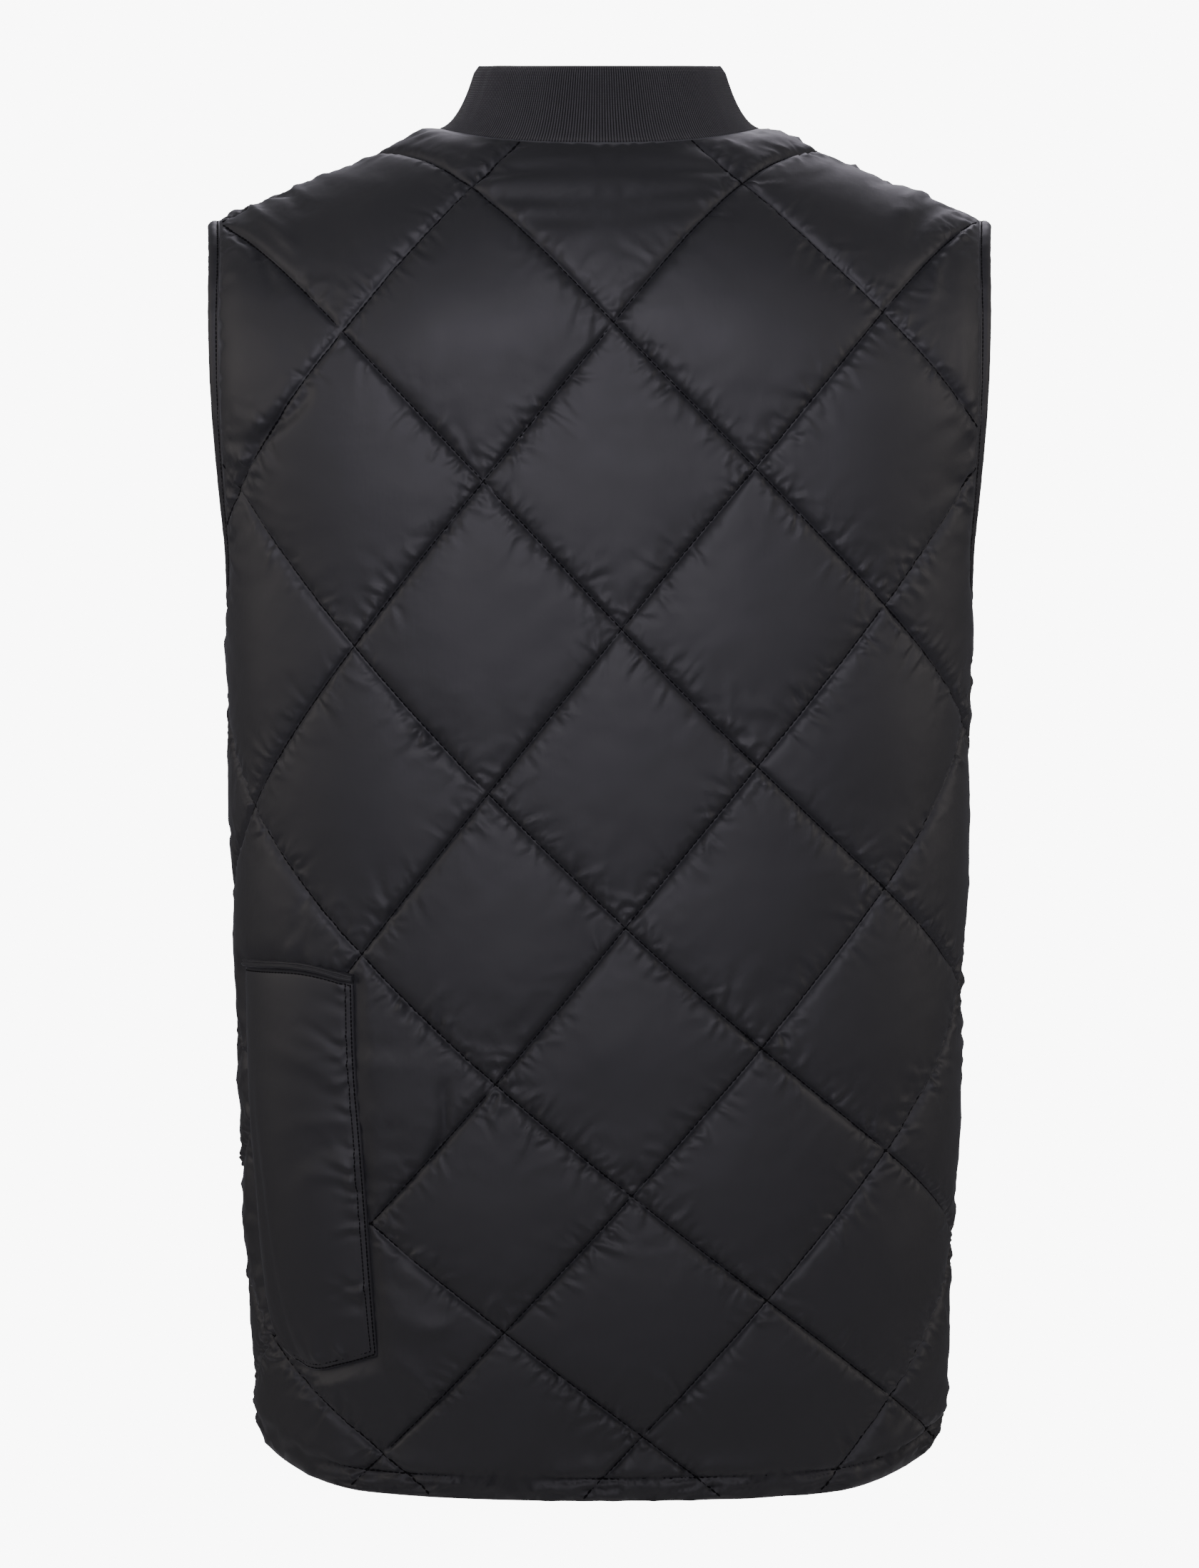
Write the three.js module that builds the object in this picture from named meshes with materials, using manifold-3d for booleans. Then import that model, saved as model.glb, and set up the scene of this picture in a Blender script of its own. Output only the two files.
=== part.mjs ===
// Quilted vest: sleeveless, padded and sewn in large diamonds, with a rib-knit stand collar, bound
// armholes, a smooth hip patch and a closed front zip, in its worn, hollow form.
// Millimetres, +Z up. The front faces -Y, the back +Y, and the wearer's left is +X.
// The origin is the middle of the neck at the level of the shoulders, where a wearer holds it.

import * as THREE from 'three';
import { mergeVertices } from 'three/addons/utils/BufferGeometryUtils.js';
import Module from 'manifold-3d';

const wasm = await Module();
wasm.setup();

// Driving dimensions. Pieces stay a seam gap apart, and meshes are thinned by no more than FINEST.
const SEAM_GAP = 0.3;
const FINEST = 0.08;
const NECK = { halfWidth: 83, back: 68, front: 97 };
const SHOULDER = {
  reach: 200, level: 4, slope: Math.tan(THREE.MathUtils.degToRad(22.4)), round: 60, drop: 4.5, dropOver: 60,
};
const UNDERARM = -252;
// Hem heights, and the share of a quarter round over which the hem stays level.
const HEM = { back: -714, side: -698, front: -702, levelShare: 0.56 };
const ARMHOLE = {
  steps: 20,
  cornerTurns: [0.35, 0.65, 1, 1.3],
  back: [
    { height: -55, across: 196 }, { height: -105, across: 195 },
    { height: -150, across: 194 }, { height: -195, across: 192 },
  ],
  front: [
    { height: -55, across: 194 }, { height: -105, across: 189 },
    { height: -150, across: 186 }, { height: -195, across: 185 },
  ],
};
const ZIP = {
  halfGap: 7, chainHalf: 1.9, tapeOuter: 6.7, steps: 24,
  foot: 3, tapeStop: 2, chainStop: 6, sliderStop: 16,
  tapeFaces: [0.6, 1.6], chainFaces: [0.2, 1.9],
};

// Wall thickness: at the seams, at the stitch lines, and how far a puff rises above those.
const WALL = { seam: 3.2, stitch: 2.4, puff: 7.2, seamFade: 26 };

// Level sections of the body, from below the hem to above the shoulders. Each is four quarters of a
// superellipse: its half-width, its depth behind and before the side, and its squareness.
const SECTIONS = [
  { height: -790, halfWidth: 175, back: 75, front: 99, square: 2.35 },
  { height: -730, halfWidth: 180, back: 84, front: 104, square: 2.35 },
  { height: -690, halfWidth: 182.5, back: 88, front: 107, square: 2.35 },
  { height: -640, halfWidth: 184.5, back: 96, front: 110, square: 2.4 },
  { height: -560, halfWidth: 188, back: 103, front: 113, square: 2.45 },
  { height: -430, halfWidth: 191, back: 110, front: 117, square: 2.55 },
  { height: -300, halfWidth: 193, back: 116, front: 121, square: 2.7 },
  { height: -225, halfWidth: 195.5, back: 118, front: 122, square: 2.75 },
  { height: -150, halfWidth: 208.5, back: 118, front: 122, square: 2.8 },
  { height: -70, halfWidth: 228, back: 116, front: 120, square: 2.8 },
  { height: 0, halfWidth: 243, back: 113, front: 117, square: 2.8 },
  { height: 130, halfWidth: 262, back: 112, front: 115, square: 2.8 },
];

// How high the cloth curves in from the upright body to the top of the shoulders.
const SHOULDER_RISE = { back: 120, front: 220 };

// The quilting: rows of stitch crossings. Along the cloth each row has its height at the middle, its
// tilt towards the wearer's left, and how far its middle column has shifted.
const QUILT = { columnHalf: 69, steps: [0, 0.12, 0.37, 0.63, 0.88], fullness: 0.6, reach: 60, margin: 4 };
const BACK_ROWS = [
  { row: -3, height: 141, tilt: -0.02, shift: 0 },
  { row: -1, height: -14, tilt: -0.03, shift: -4 },
  { row: 1, height: -168, tilt: -0.05, shift: -10 },
  { row: 3, height: -326, tilt: -0.1, shift: -12 },
  { row: 5, height: -478, tilt: -0.135, shift: -15 },
  { row: 7, height: -614, tilt: -0.12, shift: -19 },
  { row: 9, height: -745, tilt: -0.08, shift: -26 },
  { row: 11, height: -870, tilt: -0.08, shift: -30 },
];
const FRONT_ROWS = [
  { row: -3, height: 141, tilt: 0, shift: 0 },
  { row: 5, height: -478, tilt: 0, shift: 0 },
  { row: 11, height: -940, tilt: 0, shift: 0 },
];

// The smooth hip patch: four edge curves on the cloth, as arc from the middle of the back and height.
const PATCH = {
  mouth: [{ arc: 210, height: -435 }, { arc: 162, height: -430 }, { arc: 129, height: -434 }],
  inner: [
    { arc: 129, height: -434 }, { arc: 128, height: -481 },
    { arc: 124, height: -538 }, { arc: 118, height: -636 },
  ],
  bottom: [
    { arc: 178, height: -641 }, { arc: 156, height: -648 },
    { arc: 137, height: -643 }, { arc: 118, height: -636 },
  ],
  outer: [
    { arc: 210, height: -435 }, { arc: 205, height: -503 }, { arc: 199, height: -569 },
    { arc: 192, height: -612 }, { arc: 178, height: -641 },
  ],
  bed: 2.5,
  bedTop: 18,
  bedMargin: 0.42,
  thickness: 2.2,
  bulge: 4,
  fullness: 0.7,
  fade: 24,
  grid: [6, 12],
  weltWidth: 6.5,
  weltThickness: 3.6,
  weltRound: 0.8,
};

const COLLAR = {
  level: 39, frontRise: 35, topHalfWidth: 65.5, topBack: 60, topFront: 80, flare: 13,
  wall: 2.8, rib: 0.9, ribs: 108, topRound: 0.7, endHalfGap: 9, endRound: 0.16, endDrop: 0.3,
};

// The armhole binding's section: distance out from the panel's edge, and out from its inner face.
const BINDING_SECTION = [
  { across: 0.45, out: 0.2 }, { across: 0.45, out: 3.4 }, { across: 2.4, out: 4.5 },
  { across: 6.4, out: 4.2 }, { across: 8.6, out: 2.8 }, { across: 8.6, out: 0.4 },
  { across: 6.4, out: -0.9 }, { across: 2.4, out: -1 },
];

const SLIDER = {
  halfWidth: 4.4, length: 11, thickness: 2.6, seat: 2.2, corner: 1.6,
  lugInner: 2.4, lugThickness: 1.2, lugHeight: 4.1, lugLength: 3.2, pinRadius: 0.8, pinHeight: 5,
};
const PULL = {
  length: 25, halfWidth: 3.1, thickness: 1.5, corner: 2, eyeRadius: 1.9, eyeHole: 1.15, eyeHalfWidth: 2,
  neckFrom: 1, neckTo: 6, plateFrom: 5, windowHalfWidth: 1.5, windowFrom: 9, windowTo: 2.4, windowCorner: 1.2,
};

const FACING = { back: 1, front: -1 };

// Smooth curve through a table's rows, with slopes taken from each row's neighbours.
function readTable(rows, column, key, at) {
  const last = rows.length - 1;
  let i = 0;
  const forward = rows[last][column] > rows[0][column];
  while (i < last - 1 && (forward ? at > rows[i + 1][column] : at < rows[i + 1][column])) i += 1;
  const slope = (n) => {
    const before = rows[Math.max(n - 1, 0)];
    const after = rows[Math.min(n + 1, last)];
    return (after[key] - before[key]) / (after[column] - before[column]);
  };
  const span = rows[i + 1][column] - rows[i][column];
  const t = (at - rows[i][column]) / span;
  const t2 = t * t;
  const t3 = t2 * t;
  return (2 * t3 - 3 * t2 + 1) * rows[i][key] + (t3 - 2 * t2 + t) * span * slope(i)
    + (3 * t2 - 2 * t3) * rows[i + 1][key] + (t3 - t2) * span * slope(i + 1);
}

function ease(t) {
  const clamped = THREE.MathUtils.clamp(t, 0, 1);
  return clamped * clamped * (3 - 2 * clamped);
}

// Height of the shoulder ridge: rounded over the neck, then straight and a little hollow beside it.
function ridgeHeight(x) {
  const { level, slope, round, drop, dropOver } = SHOULDER;
  const run = Math.hypot(x, round) - Math.hypot(NECK.halfWidth, round);
  return level - slope * run - drop * ease((x - NECK.halfWidth) / dropOver);
}

// Arc from the foot of a quarter ellipse to an angle on it.
function ellipseArc(depth, rise, angle) {
  const steps = 48;
  let arc = 0;
  for (let n = 0; n < steps; n += 1) {
    const middle = ((n + 0.5) / steps) * angle;
    arc += Math.hypot(depth * Math.sin(middle), rise * Math.cos(middle)) * (angle / steps);
  }
  return arc;
}

// Angle on that ellipse at an arc from its foot, past the top too.
function ellipseAngle(depth, rise, arc) {
  const step = Math.PI / 180;
  let angle = 0;
  let gone = 0;
  while (angle < Math.PI) {
    const middle = angle + step / 2;
    const piece = Math.hypot(depth * Math.sin(middle), rise * Math.cos(middle)) * step;
    if (gone + piece >= arc) return angle + step * ((arc - gone) / piece);
    gone += piece;
    angle += step;
  }
  return angle;
}

// One side of the worn surface. A point of the cloth has an arc from the middle and a height along
// the cloth. It lies on a level section and, near the shoulders, is bent over them.
class Side {
  constructor(name) {
    this.name = name;
    this.facing = FACING[name];
    this.rise = SHOULDER_RISE[name];
    this.spacing = 5;
    this.bottom = SECTIONS[0].height;
    this.top = SECTIONS[SECTIONS.length - 1].height;
    this.levels = [];
    for (let height = this.bottom; height <= this.top; height += this.spacing) {
      this.levels.push(this.traceLevel(height));
    }
  }

  // Even steps of arc round one level section, from the middle to a little past the side.
  traceLevel(height) {
    const [width, depth, square] = ['halfWidth', this.name, 'square']
      .map((key) => readTable(SECTIONS, 'height', key, height));
    const fine = 1800;
    const past = 1.35;
    const arcs = [0];
    const points = [];
    let quarter = 0;
    for (let n = 0; n <= fine; n += 1) {
      const angle = (n / fine) * past * (Math.PI / 2);
      const across = width * Math.sin(angle) ** (2 / square);
      const deep = depth * Math.sign(Math.cos(angle)) * Math.abs(Math.cos(angle)) ** (2 / square);
      points.push([across, deep]);
      if (n > 0) {
        const [x, y] = points[n - 1];
        arcs.push(arcs[n - 1] + Math.hypot(across - x, deep - y));
      }
      if (deep >= 0) quarter = arcs[n];
    }
    const samples = [];
    const arcStep = 1.5;
    let n = 0;
    for (let arc = 0; arc < arcs[fine]; arc += arcStep) {
      while (arcs[n + 1] < arc) n += 1;
      const t = (arc - arcs[n]) / (arcs[n + 1] - arcs[n]);
      samples.push([0, 1].map((k) => points[n][k] + t * (points[n + 1][k] - points[n][k])));
    }
    return { quarter, samples, arcStep };
  }

  // Values of the two levels round a height, and the share of the upper one.
  between(height) {
    const place = THREE.MathUtils.clamp((height - this.bottom) / this.spacing, 0, this.levels.length - 1.001);
    const n = Math.floor(place);
    return [this.levels[n], this.levels[n + 1], place - n];
  }

  quarter(height) {
    const [low, high, t] = this.between(height);
    return low.quarter + t * (high.quarter - low.quarter);
  }

  section(arc, height) {
    const [low, high, t] = this.between(height);
    const share = arc / this.quarter(height);
    const [a, b] = [low, high].map((level) => {
      const place = Math.min((share * level.quarter) / level.arcStep, level.samples.length - 1.001);
      const n = Math.floor(place);
      const u = place - n;
      return [0, 1].map((k) => level.samples[n][k] * (1 - u) + level.samples[n + 1][k] * u);
    });
    return [0, 1].map((k) => a[k] + t * (b[k] - a[k]));
  }

  place(arc, height) {
    const [x, depth] = this.section(Math.abs(arc), height);
    const foot = ridgeHeight(x) - this.rise;
    if (height <= foot) return new THREE.Vector3(Math.sign(arc) * x, this.facing * depth, height);
    const angle = ellipseAngle(Math.abs(depth), this.rise, height - foot);
    return new THREE.Vector3(
      Math.sign(arc) * x, this.facing * depth * Math.cos(angle), foot + this.rise * Math.sin(angle),
    );
  }

  normal(arc, height) {
    const reach = 1;
    const along = this.place(arc + reach, height).sub(this.place(arc - reach, height));
    const up = this.place(arc, height + reach).sub(this.place(arc, height - reach));
    return up.cross(along).multiplyScalar(this.facing).normalize();
  }

  // A point of the cloth, moved out from its inner face.
  point(arc, height, out = 0) {
    const at = this.place(arc, height);
    return out === 0 ? at : at.addScaledVector(this.normal(arc, height), out);
  }

  // The arc at which the section at a height reaches a distance across.
  arcAt(across, height) {
    let low = 0;
    let high = this.quarter(height);
    while (high - low > 1e-5) {
      const middle = (low + high) / 2;
      if (this.section(middle, height)[0] < across) low = middle;
      else high = middle;
    }
    return low;
  }

  // The point of the cloth over a place in plan: across from the middle and deep from the side.
  fromPlan(across, deep) {
    let height = 0;
    let arc = 0;
    for (let round = 0; round < 16; round += 1) {
      arc = this.arcAt(across, height);
      const depth = this.section(arc, height)[1];
      const angle = Math.acos(THREE.MathUtils.clamp(deep / depth, 0, 1));
      height = ridgeHeight(across) - this.rise + ellipseArc(depth, this.rise, angle);
    }
    return new THREE.Vector2(arc, height);
  }
}

const BODY = { back: new Side('back'), front: new Side('front') };

// The neckline in plan, by its angle from the middle of the back.
function neckPlan(angle) {
  const deep = Math.cos(angle);
  return [NECK.halfWidth * Math.sin(angle), deep * (deep > 0 ? NECK.back : NECK.front)];
}

function neckAngle(halfGap) {
  return Math.PI - Math.asin(halfGap / NECK.halfWidth);
}

// The armhole edge of one side, from the shoulder to the underarm: down through the table's rows,
// then round a quarter ellipse to the side seam.
function armholeCurve(side, inset) {
  const body = BODY[side];
  const rows = ARMHOLE[side]
    .map(({ height, across }) => new THREE.Vector2(body.arcAt(across, height), height));
  const last = rows[rows.length - 1];
  const end = body.quarter(UNDERARM) - inset;
  const corner = ARMHOLE.cornerTurns.map((angle) => new THREE.Vector2(
    end - (end - last.x) * Math.cos(angle),
    last.y - (last.y - UNDERARM) * Math.sin(angle),
  ));
  const tip = body.fromPlan(SHOULDER.reach, inset);
  return new THREE.SplineCurve([tip, ...rows, ...corner, new THREE.Vector2(end, UNDERARM)]);
}

function range(count, from, to) {
  return Array.from({ length: count + 1 }, (_, n) => from + ((to - from) * n) / count);
}

// The outline of half a panel on the cloth, from its neckline round by the shoulder, the armhole and
// the side seam to the hem. Each run leaves out its last point, which starts the next run.
function halfOutline(side, neckAngles, hemEdge) {
  const body = BODY[side];
  const inset = SEAM_GAP / 2;
  const neck = neckAngles.map((angle) => {
    const [across, deep] = neckPlan(angle);
    return body.fromPlan(across, Math.max(Math.abs(deep), inset));
  });
  const shoulder = range(5, NECK.halfWidth, SHOULDER.reach).map((x) => body.fromPlan(x, inset));
  const armhole = armholeCurve(side, inset).getSpacedPoints(ARMHOLE.steps);
  const seam = range(14, UNDERARM, HEM.side)
    .map((height) => new THREE.Vector2(body.quarter(height) - inset, height));
  const hemArcs = range(10, body.quarter(HEM.side) - inset, hemEdge);
  const hem = hemArcs.map((arc) => new THREE.Vector2(arc, hemHeight(side, arc)));
  return [neck, shoulder, armhole, seam].flatMap((run) => run.slice(0, -1)).concat(hem);
}

function hemHeight(side, arc) {
  const toSide = Math.abs(arc) / BODY[side].quarter(HEM.side);
  return HEM[side] + (HEM.side - HEM[side]) * ease((toSide - HEM.levelShare) / (1 - HEM.levelShare));
}

const backHalf = halfOutline('back', range(9, 0, Math.PI / 2), 0);
const mirrored = backHalf.slice(1, -1).reverse().map((p) => new THREE.Vector2(-p.x, p.y));
const backOutline = [...backHalf, ...mirrored];
const frontOutline = [
  ...halfOutline('front', range(10, neckAngle(ZIP.halfGap), Math.PI / 2), ZIP.halfGap),
  ...range(24, HEM.front, BODY.front.fromPlan(...neckPlan(neckAngle(ZIP.halfGap)).map(Math.abs)).y)
    .slice(1, -1).map((height) => new THREE.Vector2(ZIP.halfGap, height)),
];

// Distance from a point of the cloth to a closed outline, positive inside it.
function depthInside(outline, arc, height) {
  let nearest = Infinity;
  let inside = false;
  outline.forEach((p, n) => {
    const q = outline[(n + 1) % outline.length];
    const edge = { x: q.x - p.x, y: q.y - p.y };
    const length2 = edge.x ** 2 + edge.y ** 2;
    const t = THREE.MathUtils.clamp(((arc - p.x) * edge.x + (height - p.y) * edge.y) / length2, 0, 1);
    nearest = Math.min(nearest, Math.hypot(arc - p.x - t * edge.x, height - p.y - t * edge.y));
    const crosses = (p.y > height) !== (q.y > height);
    if (crosses && arc < p.x + (edge.x * (height - p.y)) / edge.y) inside = !inside;
  });
  return inside ? nearest : -nearest;
}

// A closed body from its points and triangles, turned so that its faces point out.
function closedBody(points, triangles) {
  let volume = 0;
  triangles.forEach(([a, b, c]) => {
    volume += points[a].dot(new THREE.Vector3().crossVectors(points[b], points[c]));
  });
  const turned = volume < 0 ? triangles.map(([a, b, c]) => [a, c, b]) : triangles;
  const geometry = new THREE.BufferGeometry();
  const places = points.flatMap((p) => [p.x, p.y, p.z]);
  geometry.setAttribute('position', new THREE.Float32BufferAttribute(places, 3));
  geometry.setIndex(turned.flat());
  return geometry;
}

// A wall over a set of grid cells. Its outer face has fine[0] by fine[1] quads to a cell and its inner
// face has one, and the edges are closed between the two.
function wall(cells, fine, outer, inner) {
  const points = [];
  const triangles = [];
  const index = new Map();
  const vertex = (layer, make, i, j) => {
    const key = `${layer} ${i} ${j}`;
    if (!index.has(key)) {
      index.set(key, points.length);
      points.push(make(i, j));
    }
    return index.get(key);
  };
  const out = (i, j) => vertex('outer', outer, i, j);
  const inn = (i, j) => vertex('inner', inner, i, j);
  const present = new Set(cells.map(([i, j]) => `${i} ${j}`));
  cells.forEach(([i, j]) => {
    for (let k = 0; k < fine[0]; k += 1) {
      for (let m = 0; m < fine[1]; m += 1) {
        const [a, b] = [i * fine[0] + k, j * fine[1] + m];
        triangles.push([out(a, b), out(a + 1, b), out(a + 1, b + 1)]);
        triangles.push([out(a, b), out(a + 1, b + 1), out(a, b + 1)]);
      }
    }
    triangles.push([inn(i, j), inn(i + 1, j + 1), inn(i + 1, j)]);
    triangles.push([inn(i, j), inn(i, j + 1), inn(i + 1, j + 1)]);
    const edges = [
      [[i, j - 1], [i, j], [1, 0]],
      [[i + 1, j], [i + 1, j], [0, 1]],
      [[i, j + 1], [i + 1, j + 1], [-1, 0]],
      [[i - 1, j], [i, j + 1], [0, -1]],
    ];
    edges.filter(([next]) => !present.has(next.join(' '))).forEach(([, [a, b], [da, db]]) => {
      const count = da === 0 ? fine[1] : fine[0];
      const rim = range(count, 0, count).map((n) => out(a * fine[0] + da * n, b * fine[1] + db * n));
      const start = inn(a, b);
      const end = inn(a + da, b + db);
      const half = Math.floor(count / 2);
      for (let n = 0; n < count; n += 1) triangles.push([n < half ? start : end, rim[n + 1], rim[n]]);
      triangles.push([start, end, rim[half]]);
    });
  });
  return closedBody(points, triangles);
}

// A closed loop of stations, each with the same closed section: point(station, corner). Where
// `turned` says so, a quad is split on its other diagonal, so that left and right halves mirror.
function loop(stations, corners, point, turned = () => false) {
  const points = [];
  const triangles = [];
  for (let i = 0; i < stations; i += 1) {
    for (let j = 0; j < corners; j += 1) {
      points.push(point(i, j));
      const [a, b] = [i * corners + j, ((i + 1) % stations) * corners + j];
      const next = (j + 1) % corners - j;
      if (turned(i)) triangles.push([a, b, a + next], [b, b + next, a + next]);
      else triangles.push([a, b, b + next], [a, b + next, a + next]);
    }
  }
  return closedBody(points, triangles);
}

function toSolid(geometry) {
  const bare = new THREE.BufferGeometry();
  bare.setAttribute('position', geometry.getAttribute('position').clone());
  if (geometry.index) bare.setIndex(geometry.index.clone());
  const merged = mergeVertices(bare, 1e-4);
  return new wasm.Manifold(new wasm.Mesh({
    numProp: 3,
    vertProperties: new Float32Array(merged.getAttribute('position').array),
    triVerts: new Uint32Array(merged.index.array),
  }));
}

function toGeometry(solid) {
  const mesh = solid.getMesh();
  const geometry = new THREE.BufferGeometry();
  geometry.setAttribute('position', new THREE.BufferAttribute(new Float32Array(mesh.vertProperties), 3));
  geometry.setIndex(new THREE.BufferAttribute(new Uint32Array(mesh.triVerts), 1));
  return geometry;
}

// A thin upright blade along an outline, which parts a panel from the cloth round it.
function blade(body, outline) {
  const reach = { inner: -6, outer: 18, width: SEAM_GAP };
  const away = outline.map((p, n) => {
    const before = outline[(n + outline.length - 1) % outline.length];
    const after = outline[(n + 1) % outline.length];
    const edges = [[before, p], [p, after]].map(([from, to]) => to.clone().sub(from).normalize());
    const across = new THREE.Vector2(edges[0].y + edges[1].y, -edges[0].x - edges[1].x).normalize();
    return across.divideScalar(Math.max(across.x * edges[0].y - across.y * edges[0].x, 0.5));
  });
  const area = THREE.ShapeUtils.area(outline);
  return loop(outline.length, 4, (i, j) => {
    const aside = j === 1 || j === 2 ? reach.width * Math.sign(area) : 0;
    const at = outline[i].clone().addScaledVector(away[i], aside);
    return body.point(at.x, at.y, j < 2 ? reach.inner : reach.outer);
  }, (i) => outline[i].x < 0);
}

// Grid line n of the quilting: whole numbers of `steps` are stitch lines.
function quiltLine(n) {
  const count = QUILT.steps.length;
  const cell = Math.floor(n / count);
  return cell + QUILT.steps[n - cell * count];
}

// The place on the cloth of a point of the quilting, by its two families of stitch lines.
function quiltPlace(rows, p, q) {
  const column = p - q;
  const row = p + q;
  const [height, tilt, shift] = ['height', 'tilt', 'shift'].map((key) => readTable(rows, 'row', key, row));
  const arc = QUILT.columnHalf * column + shift;
  return new THREE.Vector2(arc, height + tilt * arc);
}

function puffShape(line) {
  return Math.sin(Math.PI * (line - Math.floor(line))) ** QUILT.fullness;
}

// A quilted panel: puffs between the stitch lines, thinning towards the seams and the patch.
function quiltedPanel(side, outline, rows, keepFlat) {
  const body = BODY[side];
  const place = (i, j) => quiltPlace(rows, quiltLine(i), quiltLine(j));
  const cells = [];
  for (let i = -QUILT.reach; i < QUILT.reach; i += 1) {
    for (let j = -QUILT.reach; j < QUILT.reach; j += 1) {
      const corners = [[0, 0], [1, 0], [1, 1], [0, 1]].map(([k, m]) => place(i + k, j + m));
      if (corners.some((at) => depthInside(outline, at.x, at.y) > -QUILT.margin)) cells.push([i, j]);
    }
  }
  const outer = (i, j) => {
    const at = place(i, j);
    const inside = depthInside(outline, at.x, at.y);
    const full = ease(inside / WALL.seamFade);
    const puff = WALL.puff * puffShape(quiltLine(i)) * puffShape(quiltLine(j)) * keepFlat(at);
    return body.point(at.x, at.y, WALL.seam + full * (WALL.stitch + puff - WALL.seam));
  };
  const inner = (i, j) => {
    const at = place(i, j);
    return body.point(at.x, at.y);
  };
  const pieces = toSolid(wall(cells, [1, 1], outer, inner)).subtract(toSolid(blade(body, outline)));
  return pieces.decompose().sort((a, b) => b.volume() - a.volume())[0].simplify(FINEST);
}

function curveThrough(rows) {
  return new THREE.SplineCurve(rows.map(({ arc, height }) => new THREE.Vector2(arc, height)));
}

// A place on the hip patch: u from its outer to its inner edge, v from its mouth to its bottom.
const patchEdges = Object.fromEntries(
  ['mouth', 'inner', 'bottom', 'outer'].map((name) => [name, curveThrough(PATCH[name])]),
);
function patchPlace(u, v) {
  const [across, down] = [THREE.MathUtils.clamp(u, 0, 1), THREE.MathUtils.clamp(v, 0, 1)];
  const { mouth, inner, bottom, outer } = patchEdges;
  const at = mouth.getPoint(across).multiplyScalar(1 - down)
    .addScaledVector(bottom.getPoint(across), down)
    .addScaledVector(outer.getPoint(down), 1 - across)
    .addScaledVector(inner.getPoint(down), across);
  at.addScaledVector(mouth.getPoint(0), -(1 - across) * (1 - down));
  at.addScaledVector(mouth.getPoint(1), -across * (1 - down));
  at.addScaledVector(bottom.getPoint(0), -(1 - across) * down);
  return at.addScaledVector(bottom.getPoint(1), -across * down);
}

function gridCells(columns, rows) {
  return Array.from({ length: columns * rows }, (_, n) => [Math.floor(n / rows), n % rows]);
}

// A slab lying on the back over a grid of places, with a lift of its inner and outer faces.
function slab(columns, rows, place, inner, outer) {
  const at = (i, j, out) => {
    const where = place(i / columns, j / rows);
    return BODY.back.point(where.x, where.y, out(i / columns, j / rows));
  };
  return wall(gridCells(columns, rows), [1, 1], (i, j) => at(i, j, outer), (i, j) => at(i, j, inner));
}

const patchLift = PATCH.bed + SEAM_GAP;

// The place of a point a little outside the patch's grid, for the bed that is cut for it.
function patchBedPlace(u, v) {
  const at = patchPlace(u, v);
  const centre = patchPlace(0.5, 0.5);
  const grow = (value, middle) => value + PATCH.bedMargin * Math.sign(value - middle);
  const edgeU = u <= 0 || u >= 1;
  const edgeV = v <= 0 || v >= 1;
  return new THREE.Vector2(edgeU ? grow(at.x, centre.x) : at.x, edgeV ? grow(at.y, centre.y) : at.y);
}

function weltPlace(u, v) {
  const at = patchEdges.mouth.getPoint(THREE.MathUtils.clamp(u, 0, 1));
  return new THREE.Vector2(at.x, at.y + SEAM_GAP + v * PATCH.weltWidth);
}

function weltBedPlace(u, v) {
  const at = weltPlace(u, v);
  const outerEnd = u <= 0 ? PATCH.bedMargin : 0;
  const innerEnd = u >= 1 ? -PATCH.bedMargin : 0;
  return new THREE.Vector2(at.x + outerEnd + innerEnd, at.y + (v >= 1 ? PATCH.bedMargin : -SEAM_GAP * v));
}

const patchOutline = [
  ...range(12, 0, 1).slice(0, -1).map((u) => patchPlace(u, 0)),
  ...range(12, 0, 1).slice(0, -1).map((v) => patchPlace(1, v)),
  ...range(12, 1, 0).slice(0, -1).map((u) => patchPlace(u, 1)),
  ...range(12, 1, 0).slice(0, -1).map((v) => patchPlace(0, v)),
];

function backPanel() {
  const besidePatch = (at) => ease(-depthInside(patchOutline, at.x, at.y) / PATCH.fade);
  const panel = quiltedPanel('back', backOutline, BACK_ROWS, besidePatch);
  const bedTop = () => PATCH.bedTop;
  const beds = [
    slab(...PATCH.grid, patchBedPlace, () => PATCH.bed, bedTop),
    slab(PATCH.grid[0], 1, weltBedPlace, () => PATCH.bed, bedTop),
  ];
  return toGeometry(beds.reduce((rest, bed) => rest.subtract(toSolid(bed)), panel).simplify(FINEST));
}

function frontPanel() {
  return toGeometry(quiltedPanel('front', frontOutline, FRONT_ROWS, () => 1));
}

function mirroredGeometry(geometry) {
  const copy = geometry.clone();
  const position = copy.getAttribute('position');
  for (let n = 0; n < position.count; n += 1) position.setX(n, -position.getX(n));
  const order = Array.from(copy.index.array);
  for (let n = 0; n < order.length; n += 3) [order[n + 1], order[n + 2]] = [order[n + 2], order[n + 1]];
  copy.setIndex(order);
  return copy;
}

function hipPatch() {
  const bulge = (u, v) => PATCH.bulge * (Math.sin(Math.PI * u) * Math.sin(Math.PI * v)) ** PATCH.fullness;
  return slab(...PATCH.grid, patchPlace, () => patchLift,
    (u, v) => patchLift + PATCH.thickness + bulge(u, v));
}

function hipPatchWelt() {
  return slab(PATCH.grid[0] * 2, 2, weltPlace, () => patchLift,
    (u, v) => patchLift + PATCH.weltThickness - (v === 0.5 ? 0 : PATCH.weltRound));
}

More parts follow.
